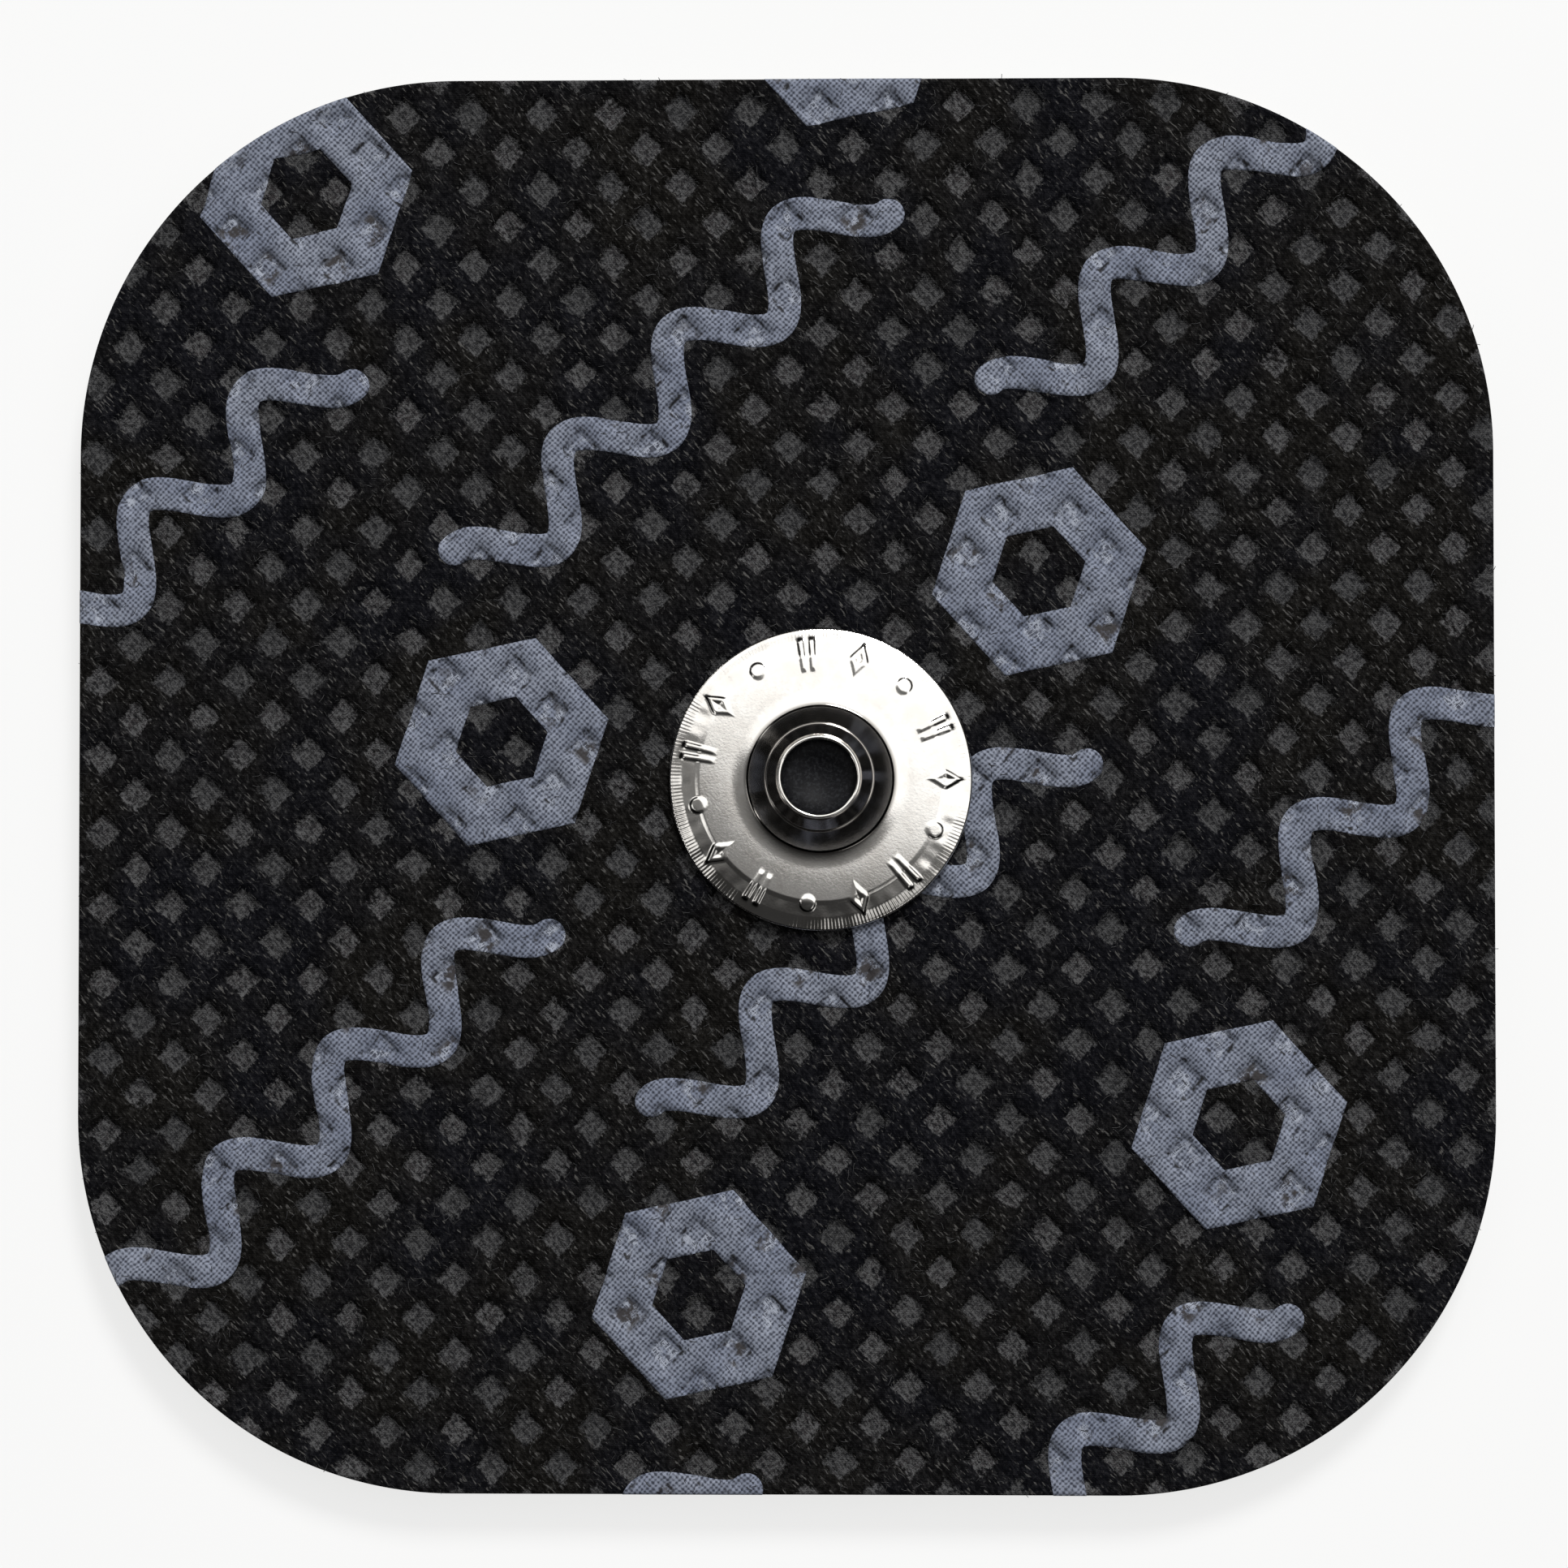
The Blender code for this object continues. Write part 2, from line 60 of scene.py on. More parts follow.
# The pad's outline and layers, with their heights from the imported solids
FABRIC_LOW, FABRIC_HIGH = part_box("backing_fabric")
GEL_LOW, GEL_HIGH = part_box("hydrogel")
FILM_LOW, FILM_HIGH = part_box("carbon_film")
EYELET_LOW, EYELET_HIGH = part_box("snap_eyelet")
STUD_LOW, STUD_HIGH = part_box("snap_stud")
PAD_SIDE = FABRIC_HIGH.x - FABRIC_LOW.x
PAD_CORNER_RADIUS = 13.3 * MM
EDGE_STEP = 0.25 * MM
EDGE_ROLL = 0.14 * MM
EDGE_DROP = 0.07 * MM
EDGE_FIRM = 0.70 * MM
WALL_STEPS = 4
LAYER_EDGE_RINGS = 9
GEL_EDGE_ROUND = 0.30 * MM
FILM_EDGE_ROUND = 0.03 * MM

# Bond points pressed into the non-woven
PIT_PITCH_X = 2.46 * MM
PIT_PITCH_Y = 2.66 * MM
PIT_ROWS_TURN = math.radians(0.9)
PIT_ANCHOR = Vector((6.36, 10.76)) * MM
PIT_LINES = (0.29 * MM, 0.38 * MM, 0.47 * MM, 0.62 * MM)
PIT_RAGGEDNESS = 2.6
EMBOSS_INPUTS = {
    "Pitch across": PIT_PITCH_X,
    "Pitch along": PIT_PITCH_Y,
    "Rows turn": PIT_ROWS_TURN,
    "Anchor": (*PIT_ANCHOR, 0.0),
    "Pit side": 0.96 * MM,
    "Wall width": 0.13 * MM,
    "Fray": 0.11 * MM,
    "Pit depth": 0.19 * MM,
    "Pillow height": 0.09 * MM,
    "Grain height": 0.035 * MM,
    "Wander": 0.05 * MM,
    "Lift": 0.0,
}

# Where the snap goes through the pad, and how far its flange covers the print
SNAP_CENTRE = Vector(((STUD_LOW.x + STUD_HIGH.x) / 2, (STUD_LOW.y + STUD_HIGH.y) / 2))
HOLE_RADIUS = 1.34 * MM
HOLE_STEPS = 48
STUD_COVER_RADIUS = 5.15 * MM
FLANGE_RADIUS = 5.35 * MM

# Loose fibres on the face of the cloth: the density is their number on a square metre
FIBRE_INPUTS = {
    "Density": 3.6e6,
    "Fibre length": 0.24 * MM,
    "Fibre radius": 0.010 * MM,
    "Stud centre": (*SNAP_CENTRE, 0.0),
    "Stud radius": FLANGE_RADIUS,
    "Seed": 7,
}
FIBRE_BEND = 0.3
FIBRE_RISE = 0.25
FIBRE_TILT = (0.25, 0.12)
FIBRE_SCALES = (0.45, 1.4)
FACING_UP = 0.6

# Print: where the motifs stand and how they are drawn
PRINT_ANCHOR = Vector((-10.0, 1.5)) * MM
COLUMN_STEP = Vector((19.0, 6.0)) * MM
ROW_STEP = Vector((-7.0, 19.5)) * MM
ANCHOR_CELL = 3
WAVE_OFFSET = (COLUMN_STEP + ROW_STEP) / 2
HEXAGON_ACROSS_FLATS = 6.7 * MM
HEXAGON_WINDOW = 2.9 * MM
HEXAGON_TURN = math.radians(12.0)
HEXAGON_SIDE_STEPS = 26
WAVE_TURN = math.radians(45.0)
WAVE_LENGTH = 5.5 * MM
WAVE_COUNT = 3.5
WAVE_AMPLITUDE = 1.25 * MM
WAVE_STROKE = 1.15 * MM
WAVE_STEPS = 170
CAP_STEPS = 12
INK_LIFT = 0.012 * MM
INK_BODY = 0.020 * MM

# Stud: heights are measured from the seat of the flange
SEAT_HEIGHT = 2.30 * MM
STUD_WALL = 0.25 * MM
FLANGE_RISE = SEAT_HEIGHT - STUD_LOW.z
SEAT_RADIUS = 4.34 * MM
SEAT_DISH = 0.055 * MM
CREASE_WIDTH = 0.04 * MM
SEAT_STEP_WIDTH = 0.06 * MM
SEAT_STEP_DROP = 0.045 * MM
BAND_RADIUS = 4.90 * MM
BAND_DROP = 0.15 * MM
RIM_RADIUS = 5.24 * MM
RIM_DROP = 0.35 * MM
NECK_RADIUS = 1.68 * MM
NECK_HEIGHT = 1.20 * MM
FOOT_RADIUS = 2.60 * MM
FOOT_RISE = 0.085 * MM
SEAT_START_RADIUS = 3.15 * MM
FOOT_START_SLOPE = 48.0
FOOT_END_SLOPE = 58.0
BULB_RADIUS = 1.93 * MM
BULB_HEIGHT = 1.74 * MM
BULB_ROUND = 0.05 * MM
BULB_LEDGE = 0.035 * MM
POST_HEIGHT = STUD_HIGH.z - SEAT_HEIGHT
MOUTH_RADIUS = 1.30 * MM
LIP_WIDTH = 0.16 * MM
LIP_DEPTH = 0.50 * MM
LIP_STEPS = 7
CONE_STEPS = 5
BULB_STEPS = 6
FOOT_STEPS = 12
INNER_FOOT_STEPS = 4
SEAT_STEPS = 24
BAND_STEPS = 9
RIM_STEPS = 4
RIM_TICKS = 260
STEPS_PER_TICK = 4
TICK_HEIGHT = 0.007 * MM
TICK_WEAR = 0.45
TICK_WEAR_WAVES = (3, 7)

# Marks struck into the flange across the step, alternately a lozenge, two bars and a dot
MARK_COUNT = 15
MARK_KINDS = 3
MARK_RADIUS = 4.41 * MM
MARK_HEIGHT = 1.10 * MM
MARK_WIDTH = 0.66 * MM
MARK_STROKE = 0.17 * MM
MARK_RISE = 0.028 * MM
MARK_EDGE = 0.13 * MM
MARK_STEP_SHARE = 0.6
LOZENGE_SLANT = 0.86
BARS_APART = 0.55
DOT_SHARE = 0.8

# The unevenness that the striking leaves in the outer band, from two sets of waves round it
BAND_WAVINESS = 0.016 * MM
BAND_FADE = 0.4 * MM
BAND_SWELLS = (9, 14)
BAND_RIPPLES = (22, 37)
BAND_RIPPLE_SHARE = 0.35

# Eyelet
EYELET_STEPS = 96
EYELET_POST_RADIUS = 1.24 * MM
EYELET_HEAD_RADIUS = 1.50 * MM
EYELET_HEAD_THICKNESS = 0.26 * MM
EYELET_DISH_RADIUS = 1.02 * MM
EYELET_DISH_DEPTH = 0.20 * MM
EYELET_DISH_STEPS = 8
EYELET_FLANGE_THICKNESS = 0.28 * MM

# Textures: the pitch, unevenness and turn of a mesh of threads, and how noise is drawn out
FUSED_MESH = (0.105, 14.0, 0.0)
INK_MESH = (0.20, 7.0, 0.75)
STRAND_SLANTS = (-0.7, 0.9)
STRAND_SCALES = (2.2, 10.0, 4.0)
FIBRE_SLANT = 0.80
TANGLE_SCALES = (4.8, 8.6, 6.5)
GLINT_SCALES = (3.4, 13.0, 7.0)
STREAK_SCALES = (0.4, 6.0, 6.0)
SCRIM_PITCH = 1.1

# Colours in linear red, green and blue, in pairs where one look is mixed from two
CLOTH_GAPS = ((0.0027, 0.0024, 0.0021), (0.0017, 0.0018, 0.0028))
CLOTH_LOFT = ((0.0110, 0.0103, 0.0094), (0.0084, 0.0085, 0.0105))
CLOTH_CREST = (0.052, 0.051, 0.050)
# Painted highlight: the colour of the fibre glints
CLOTH_PAINTED_GLINT = (0.070, 0.068, 0.065)
FUSED_POINTS = ((0.028, 0.024, 0.025), (0.026, 0.027, 0.028))
FUSED_THREAD = (0.056, 0.056, 0.057)
FUSED_STRAND = (0.090, 0.090, 0.091)
FUSED_DULL = (0.010, 0.010, 0.011)
FUSED_GAP = (0.008, 0.008, 0.009)
INK_FULL = ((0.170, 0.191, 0.252), (0.216, 0.236, 0.290))
INK_THIN = (0.030, 0.034, 0.049)
INK_WALL_GAP = (0.012, 0.012, 0.014)
INK_PIT_GAP = (0.031, 0.028, 0.029)
FROST = ((0.042, 0.046, 0.062), (0.330, 0.355, 0.415))
LOOSE_FIBRE = ((0.010, 0.010, 0.011), (0.040, 0.040, 0.041))
NICKEL = ((0.74, 0.72, 0.69), (0.66, 0.635, 0.60))
# Painted shade on the post: the darker tone for the flared foot, the lighter for the post above the
# bulb
POST_PAINTED_SHADE = ((0.11, 0.10, 0.092), (0.22, 0.20, 0.185))
PLASTIC = ((0.003, 0.003, 0.004), (0.016, 0.017, 0.019))
FILM = ((0.012, 0.012, 0.013), (0.028, 0.028, 0.029))
COVER = ((0.50, 0.50, 0.48), (0.62, 0.62, 0.60))
GEL = ((0.66, 0.64, 0.54), (0.58, 0.555, 0.45))
GEL_SCRIM = (0.78, 0.77, 0.70)
FLOOR = ((0.16, 0.16, 0.16), (0.18, 0.18, 0.18))
FLOOR_GLOW_TINT = (1.0, 1.0, 0.995)
ROOM_TINT = (1.0, 0.995, 0.985)

# Camera and stage
CAMERA_PLACE = Vector((5.3, -5.3, 180.0)) * MM
CAMERA_TARGET = Vector((0.0, 0.0, FABRIC_HIGH.z))
VIEW_WIDTH = 55.35 * MM
SENSOR_WIDTH = 36.0
FLOOR_SIZE = 3.0
FLOOR_GAP = 0.02 * MM
FLOOR_GLOW = 0.76
KEY_PLACE = Vector((0.17, 0.53, 0.52))
KEY_SIZE = 0.22
KEY_POWER = 5.4
ROOM_FILL = 0.6
BACKDROP = 0.95

# The room's light: a bright side, a ceiling over a dark horizon, and a dim side
BRIGHT_SIDE = (0.42, 0.9075, 0.0)
BRIGHT_SIDE_EDGE = (-0.055, 0.052)
BRIGHT_SIDE_STRENGTHS = (0.25, 1.6)
CEILING_EDGE = (0.44, 0.66)
CEILING_STRENGTHS = (0.002, 1.0)
DIM_SIDE = (-0.26, -0.97, 0.0)
DIM_SIDE_EDGE = (0.08, 0.46)
DIM_SIDE_STRENGTHS = (1.0, 0.15)

# Small lights in the room that only show in the metal: direction, half angle and strength
LOW_LIGHTS = (
    ((-0.70, -0.18, 0.69), 0.25, 1.3),
    ((0.36, -0.62, 0.69), 0.24, 0.8),
    ((-0.766, 0.643, 0.16), 0.14, 3.0),
    ((-0.891, -0.454, 0.17), 0.09, 6.0),
)


# Node helpers


def add_node(tree, kind, values=None, **settings):
    """The outputs of a new node, each of whose inputs is a number or the socket that feeds it."""
    node = tree.nodes.new(kind)
    for name, value in settings.items():
        setattr(node, name, value)
    for socket, value in (values or {}).items():
        if isinstance(value, bpy.types.NodeSocket):
            tree.links.new(value, node.inputs[socket])
        else:
            node.inputs[socket].default_value = value
    return node.outputs


def fed_node(kind, values, **settings):
    """The outputs of a new node in the tree of the sockets that feed it."""
    sockets = [value for value in values.values() if isinstance(value, bpy.types.NodeSocket)]
    return add_node(sockets[0].id_data, kind, values, **settings)


def maths(operation, *values):
    return fed_node("ShaderNodeMath", dict(enumerate(values)), operation=operation)[0]


def times(first, second):
    return maths("MULTIPLY", first, second)


def vector_maths(operation, *values):
    outputs = fed_node("ShaderNodeVectorMath", dict(enumerate(values)), operation=operation)
    return outputs["Value" if operation in ("DOT_PRODUCT", "LENGTH") else "Vector"]


def scaled(vector, factor):
    values = {0: vector, "Scale": factor}
    return fed_node("ShaderNodeVectorMath", values, operation="SCALE")["Vector"]


def rotated(vector, angle):
    """A vector turned about the pad's axis."""
    values = {"Vector": vector, "Angle": angle}
    return fed_node("ShaderNodeVectorRotate", values, rotation_type="Z_AXIS")[0]


def split(vector):
    return fed_node("ShaderNodeSeparateXYZ", {0: vector})


def joined(**parts):
    return fed_node("ShaderNodeCombineXYZ", parts)[0]


def distance_from(place, centre):
    """How far a place is from a centre across the picture."""
    apart = vector_maths("SUBTRACT", place, centre)
    flat = vector_maths("MULTIPLY", apart, (1.0, 1.0, 0.0))
    return vector_maths("LENGTH", flat)


def ramp(value, low, high, to_low=0.0, to_high=1.0):
    """A smooth step of a value between two limits."""
    values = {"Value": value, "From Min": low, "From Max": high, "To Min": to_low, "To Max": to_high}
    return fed_node("ShaderNodeMapRange", values, interpolation_type="SMOOTHSTEP")["Result"]


def noise(place, scale=1.0, detail=2.0, roughness=0.5, output=0):
    values = {"Vector": place, "Scale": scale, "Detail": detail, "Roughness": roughness}
    return fed_node("ShaderNodeTexNoise", values)[output]


def patches(place, scale, low, high, detail=3.0, roughness=0.5):
    """Patches with soft edges, from 0 outside them to 1 inside."""
    return ramp(noise(place, scale, detail, roughness), low, high)


def raggedness(place):
    """How far the edges of the bond points wander at a place in millimetres, in relief and colour."""
    return maths("SUBTRACT", noise(place, scale=1.3, detail=2.0), 0.5)


def opaque(colour):
    return (*colour, 1.0)


def mixed(factor, first, second):
    """A mix of two colours, each given as numbers or as a socket."""
    ends = [opaque(colour) if isinstance(colour, tuple) else colour for colour in (first, second)]
    values = {0: factor, 6: ends[0], 7: ends[1]}
    return fed_node("ShaderNodeMix", values, data_type="RGBA")[2]


# Materials, with places and scales in millimetres


def start_material(name, **constants):
    """A material with some of its shader's constants, and the place on the piece in millimetres."""
    material = bpy.data.materials.new(name)
    material.use_nodes = True
    tree = material.node_tree
    shader = tree.nodes["Principled BSDF"]
    for socket, value in constants.items():
        shader.inputs[socket.replace("_", " ")].default_value = value
    coordinates = add_node(tree, "ShaderNodeTexCoord")["Object"]
    return material, scaled(coordinates, 1 / MM)


def finished(material, colour, roughness=None, normal=None):
    """The material, with what feeds its shader."""
    tree = material.node_tree
    inputs = tree.nodes["Principled BSDF"].inputs
    for name, output in (("Base Color", colour), ("Roughness", roughness), ("Normal", normal)):
        if output is not None:
            tree.links.new(output, inputs[name])
    return material


def bump(height, depth, strength):
    """A bump of the given depth in metres."""
    values = {"Height": height, "Distance": depth, "Strength": strength}
    return fed_node("ShaderNodeBump", values)["Normal"]


def attribute(tree, name):
    return add_node(tree, "ShaderNodeAttribute", attribute_name=name)["Fac"]


def thread_mesh(place, pitch, wander, turn):
    """Two sets of fine slanting ridges across each other, from 0 in the gaps to 1 on the threads."""
    wobble = times(noise(place, scale=1.6, detail=3.0), wander)
    parts = split(rotated(place, turn))
    turns = 2 * math.pi / (pitch * math.sqrt(2))
    waves = []
    for operation in ("ADD", "SUBTRACT"):
        along = maths(operation, parts["X"], parts["Y"])
        phase = maths("MULTIPLY_ADD", along, turns, wobble)
        waves.append(maths("SINE", phase))
    return maths("MULTIPLY_ADD", times(*waves), 0.5, 0.5)


def drawn_out(place, slant, scales):
    """The place turned and scaled unevenly, so that a noise there is drawn out along one slant."""
    return vector_maths("MULTIPLY", rotated(place, slant), scales)


def strands(place):
    """Thin wandering lines in two slanting directions, from 0 beside them to 1 on them."""
    lines = []
    for slant in STRAND_SLANTS:
        wander = noise(drawn_out(place, slant, STRAND_SCALES), detail=1.0)
        offset = maths("ABSOLUTE", maths("SUBTRACT", wander, 0.5))
        lines.append(ramp(offset, 0.02, 0.08, 1.0, 0.0))
    return maths("MAXIMUM", *lines)


def loft_colour(place, tangle):
    """The lofty cloth: dark gaps, duller fibres and a few painted glints, in slightly warm or cool
    patches.
    """
    cool = patches(place, 0.22, 0.35, 0.65, detail=2.0)
    gaps = mixed(cool, *CLOTH_GAPS)
    loft = mixed(cool, *CLOTH_LOFT)
    colour = mixed(ramp(tangle, 0.42, 0.60), gaps, loft)
    colour = mixed(ramp(tangle, 0.58, 0.76), colour, CLOTH_CREST)
    # Painted highlight: short bright streaks of fibre glint mixed into the colour
    painted_glint = noise(drawn_out(place, FIBRE_SLANT, GLINT_SCALES), detail=1.0, roughness=0.4)
    return mixed(ramp(painted_glint, 0.63, 0.75), colour, CLOTH_PAINTED_GLINT)


def fused_colour(place, tangle, hatch, pit):
    """The fused points: greyer threads and strands, with some points duller than others."""
    colour = mixed(pit, *FUSED_POINTS)
    colour = mixed(times(hatch, 0.5), colour, FUSED_THREAD)
    colour = mixed(strands(place), colour, FUSED_STRAND)
    colour = mixed(times(pit, 0.32), colour, FUSED_DULL)
    return mixed(ramp(tangle, 0.36, 0.58), FUSED_GAP, colour)


def fabric_material():
    """Black spun-bonded cloth: dull lofty fibre between greyer, glossier fused points."""
    material, place = start_material("black_nonwoven", Specular_IOR_Level=0.04)
    tree = material.node_tree
    near = attribute(tree, "near")
    pit = attribute(tree, "pit")
    hatch = thread_mesh(place, *FUSED_MESH)
    fibres = drawn_out(place, FIBRE_SLANT, TANGLE_SCALES)
    tangle = noise(fibres, detail=5.0, roughness=0.72)
    ragged = maths("MULTIPLY_ADD", raggedness(place), 2.4, near)
    ragged = maths("MULTIPLY_ADD", tangle, 2.2, ragged)
    ragged = maths("MULTIPLY_ADD", pit, 0.35, ragged)
    shown = times(ramp(ragged, 1.45, 2.0), ramp(near, 0.0, 0.2))
    loft = loft_colour(place, tangle)
    colour = mixed(shown, loft, fused_colour(place, tangle, hatch, pit))
    roughness = ramp(attribute(tree, "bond"), 0.3, 1.0, 0.90, 0.65)
    height = maths("ADD", tangle, times(hatch, 0.25))
    return finished(material, colour, roughness, bump(height, 0.060 * MM, 0.8))


def ink_material():
    """Slate ink that lies on the tops of the fibres and misses the gaps and parts of some pits."""
    material, place = start_material("slate_ink", Specular_IOR_Level=0.22)
    tree = material.node_tree
    bond = attribute(tree, "bond")
    near = attribute(tree, "near")
    hatch = thread_mesh(place, *INK_MESH)
    tangle = noise(place, scale=5.5, detail=5.0, roughness=0.70)
    cover = maths("MULTIPLY_ADD", hatch, 0.52, times(tangle, 1.1))
    cover = ramp(cover, 0.50, 1.04)
    full = mixed(patches(place, 0.35, 0.3, 0.7), *INK_FULL)
    colour = mixed(cover, INK_THIN, full)
    frosted = times(times(near, patches(place, 2.6, 0.46, 0.60)), 0.85)
    colour = mixed(frosted, colour, mixed(strands(place), *FROST))
    wall = times(ramp(bond, 0.05, 0.5), ramp(bond, 0.98, 0.6))
    missed = times(wall, patches(place, 2.4, 0.52, 0.64))
    colour = mixed(missed, colour, INK_WALL_GAP)
    bare = times(near, ramp(attribute(tree, "pit"), 0.60, 0.72))
    missed = times(bare, patches(place, 1.9, 0.46, 0.58, detail=4.0, roughness=0.6))
    colour = mixed(missed, colour, INK_PIT_GAP)
    height = maths("ADD", tangle, times(hatch, 0.3))
    roughness = ramp(cover, 0.0, 1.0, 0.80, 0.60)
    return finished(material, colour, roughness, bump(height, 0.022 * MM, 0.6))


def fibre_material():
    """Black fibre, some of it a little paler than the cloth."""
    material, place = start_material("loose_fibre", Specular_IOR_Level=0.3, Roughness=0.5)
    tone = patches(place, 0.8, 0.35, 0.65, detail=2.0)
    return finished(material, mixed(tone, *LOOSE_FIBRE))


def nickel_material():
    """Barrel-plated nickel: a fine mottle, faint stains, and a darker colour painted as shade on the
    post and in the flare round its foot.
    """
    material, place = start_material("nickel_plate", Metallic=1.0)
    mottle = noise(place, scale=12.0, detail=4.0, roughness=0.6)
    grain = noise(place, scale=34.0, detail=3.0, roughness=0.6)
    stain = patches(place, 1.1, 0.35, 0.70, detail=4.0, roughness=0.6)
    away = distance_from(place, (SNAP_CENTRE.x / MM, SNAP_CENTRE.y / MM, 0.0))
    height = split(place)["Z"]
    lip = (SEAT_HEIGHT + POST_HEIGHT) / MM
    # Painted shade: the colour is darkened over the post and its flared foot, all but the top of the
    # lip
    off_flange = ramp(away, FOOT_RADIUS / MM, (FOOT_RADIUS + 4 * CREASE_WIDTH) / MM, 1.0, 0.0)
    off_lip = ramp(height, lip - LIP_WIDTH / MM, lip - LIP_WIDTH / 2 / MM, 1.0, 0.0)
    flare_end = (SEAT_HEIGHT + NECK_HEIGHT * 0.8) / MM
    on_cone = ramp(height, flare_end, (SEAT_HEIGHT + BULB_HEIGHT) / MM)
    # The painted shade is darkest in the flared foot and lighter on the post above the bulb
    painted_shade = mixed(on_cone, *POST_PAINTED_SHADE)
    painted_shade_share = times(times(off_flange, off_lip), 0.8)
    colour = mixed(painted_shade_share, mixed(stain, *NICKEL), painted_shade)
    roughness = ramp(mottle, 0.30, 0.72, 0.08, 0.15)
    relief = maths("MULTIPLY_ADD", grain, 0.45, mottle)
    return finished(material, colour, roughness, bump(relief, 0.0024 * MM, 0.9))


def plastic_material():
    """Moulded black plastic with a fine matt speckle."""
    material, place = start_material("black_plastic", Specular_IOR_Level=0.10)
    mottle = noise(place, scale=9.0, detail=4.0, roughness=0.7)
    colour = mixed(ramp(mottle, 0.45, 0.65), *PLASTIC)
    roughness = ramp(mottle, 0.3, 0.7, 0.45, 0.60)
    relief = noise(place, scale=16.0, detail=3.0)
    return finished(material, colour, roughness, bump(relief, 0.004 * MM, 0.8))


def film_material():
    """Carbon-filled film, with the streaks of its casting along one side of the pad."""
    material, place = start_material("carbon_film", Specular_IOR_Level=0.4)
    streak = noise(vector_maths("MULTIPLY", place, STREAK_SCALES), detail=4.0)
    roughness = ramp(streak, 0.3, 0.7, 0.45, 0.65)
    normal = bump(streak, 0.004 * MM, 0.6)
    return finished(material, mixed(streak, *FILM), roughness, normal)


def cover_material():
    """Thin milky film, a little cloudy."""
    material, place = start_material("cover_film", Specular_IOR_Level=0.4)
    cloud = noise(place, scale=1.4, detail=4.0)
    roughness = ramp(cloud, 0.3, 0.7, 0.40, 0.60)
    normal = bump(cloud, 0.010 * MM, 0.5)
    return finished(material, mixed(cloud, *COVER), roughness, normal)


def gel_material():
    """Clear, slightly straw coloured gel over a dark film, with a fine scrim cast inside it."""
    material, place = start_material(
        "clear_gel",
        IOR=1.38,
        Subsurface_Weight=0.35,
        Subsurface_Radius=(1.0, 0.9, 0.6),
        Subsurface_Scale=0.8 * MM,
        Transmission_Weight=0.25,
        Coat_Weight=0.3,
        Coat_Roughness=0.08,
    )
    cloud = noise(place, scale=0.5, detail=4.0, roughness=0.55)
    parts = split(place)
    waves = [maths("SINE", times(parts[axis], 2 * math.pi / SCRIM_PITCH)) for axis in "XY"]
    threads = [ramp(wave, 0.93, 0.99) for wave in waves]
    scrim = times(maths("MAXIMUM", *threads), 0.35)
    colour = mixed(scrim, mixed(cloud, *GEL), GEL_SCRIM)
    roughness = ramp(cloud, 0.3, 0.7, 0.10, 0.22)
    return finished(material, colour, roughness, bump(cloud, 0.05 * MM, 0.4))


def floor_material():
    """A pale floor that glows a little, so that it stays even and bright round the pad."""
    material, place = start_material(
        "pale_floor",
        Specular_IOR_Level=0.1,
        Roughness=0.9,
        Emission_Color=opaque(FLOOR_GLOW_TINT),
        Emission_Strength=FLOOR_GLOW,
    )
    return finished(material, mixed(noise(place, scale=0.01), *FLOOR))


# Outlines and meshes


def on_arc(centre, radius, start, end, steps):
    """Points along an arc, given by its angles in degrees."""
    angles = np.radians(np.linspace(start, end, steps + 1))
    return [
        Vector((centre[0] + radius * math.cos(angle), centre[1] + radius * math.sin(angle)))
        for angle in angles
    ]


def resampled(outline, step):
    """The closed outline again, with points no further apart than the step."""
    points = []
    for i, start in enumerate(outline):
        end = outline[(i + 1) % len(outline)]
        count = max(1, math.ceil((end - start).length / step))
        points += [start.lerp(end, j / count) for j in range(count)]
    return points


def pad_outline(inset, step=EDGE_STEP):
    """The outline that the die cuts, moved inwards."""
    radius = PAD_CORNER_RADIUS - inset
    reach = PAD_SIDE / 2 - PAD_CORNER_RADIUS
    steps = math.ceil(radius * math.pi / 2 / step)
    corners = []
    for turn, (x, y) in enumerate(((1, 1), (-1, 1), (-1, -1), (1, -1))):
        centre = (x * reach, y * reach)
        corners += on_arc(centre, radius, 90 * turn, 90 * turn + 90, steps)
    return resampled(corners, step)


def edge_distance(points):
    """How far points lie inside the pad's outline."""
    beyond = np.abs(points) - (PAD_SIDE / 2 - PAD_CORNER_RADIUS)
    outside = np.linalg.norm(np.maximum(beyond, 0), axis=1)
    return PAD_CORNER_RADIUS - outside - np.minimum(beyond.max(axis=1), 0)


def as_object(name, data, material=None):
    obj = bpy.data.objects.new(name, data)
    bpy.context.scene.collection.objects.link(obj)
    if material:
        data.materials.append(material)
    return obj


def to_shape(places, faces):
    """The editable mesh of some places and of the faces between them."""
    mesh = bpy.data.meshes.new("rough")
    mesh.from_pydata(places.tolist(), [], faces)
    shape = bmesh.new()
    shape.from_mesh(mesh)
    bpy.data.meshes.remove(mesh)
    return shape


def to_mesh(shape, name):
    mesh = bpy.data.meshes.new(name)
    shape.to_mesh(mesh)
    shape.free()
    return mesh


def start_tree(name, inputs):
    """A Geometry Nodes tree with a geometry input, the named inputs and a material."""
    tree = bpy.data.node_groups.new(name, "GeometryNodeTree")
    kinds = {float: "Float", int: "Int", tuple: "Vector"}
    inlets = {"Geometry": "Geometry", **{key: kinds[type(value)] for key, value in inputs.items()}}
    for socket, kind in {**inlets, "Material": "Material"}.items():
        tree.interface.new_socket(socket, in_out="INPUT", socket_type="NodeSocket" + kind)
    tree.interface.new_socket("Geometry", in_out="OUTPUT", socket_type="NodeSocketGeometry")
    return tree, add_node(tree, "NodeGroupInput")


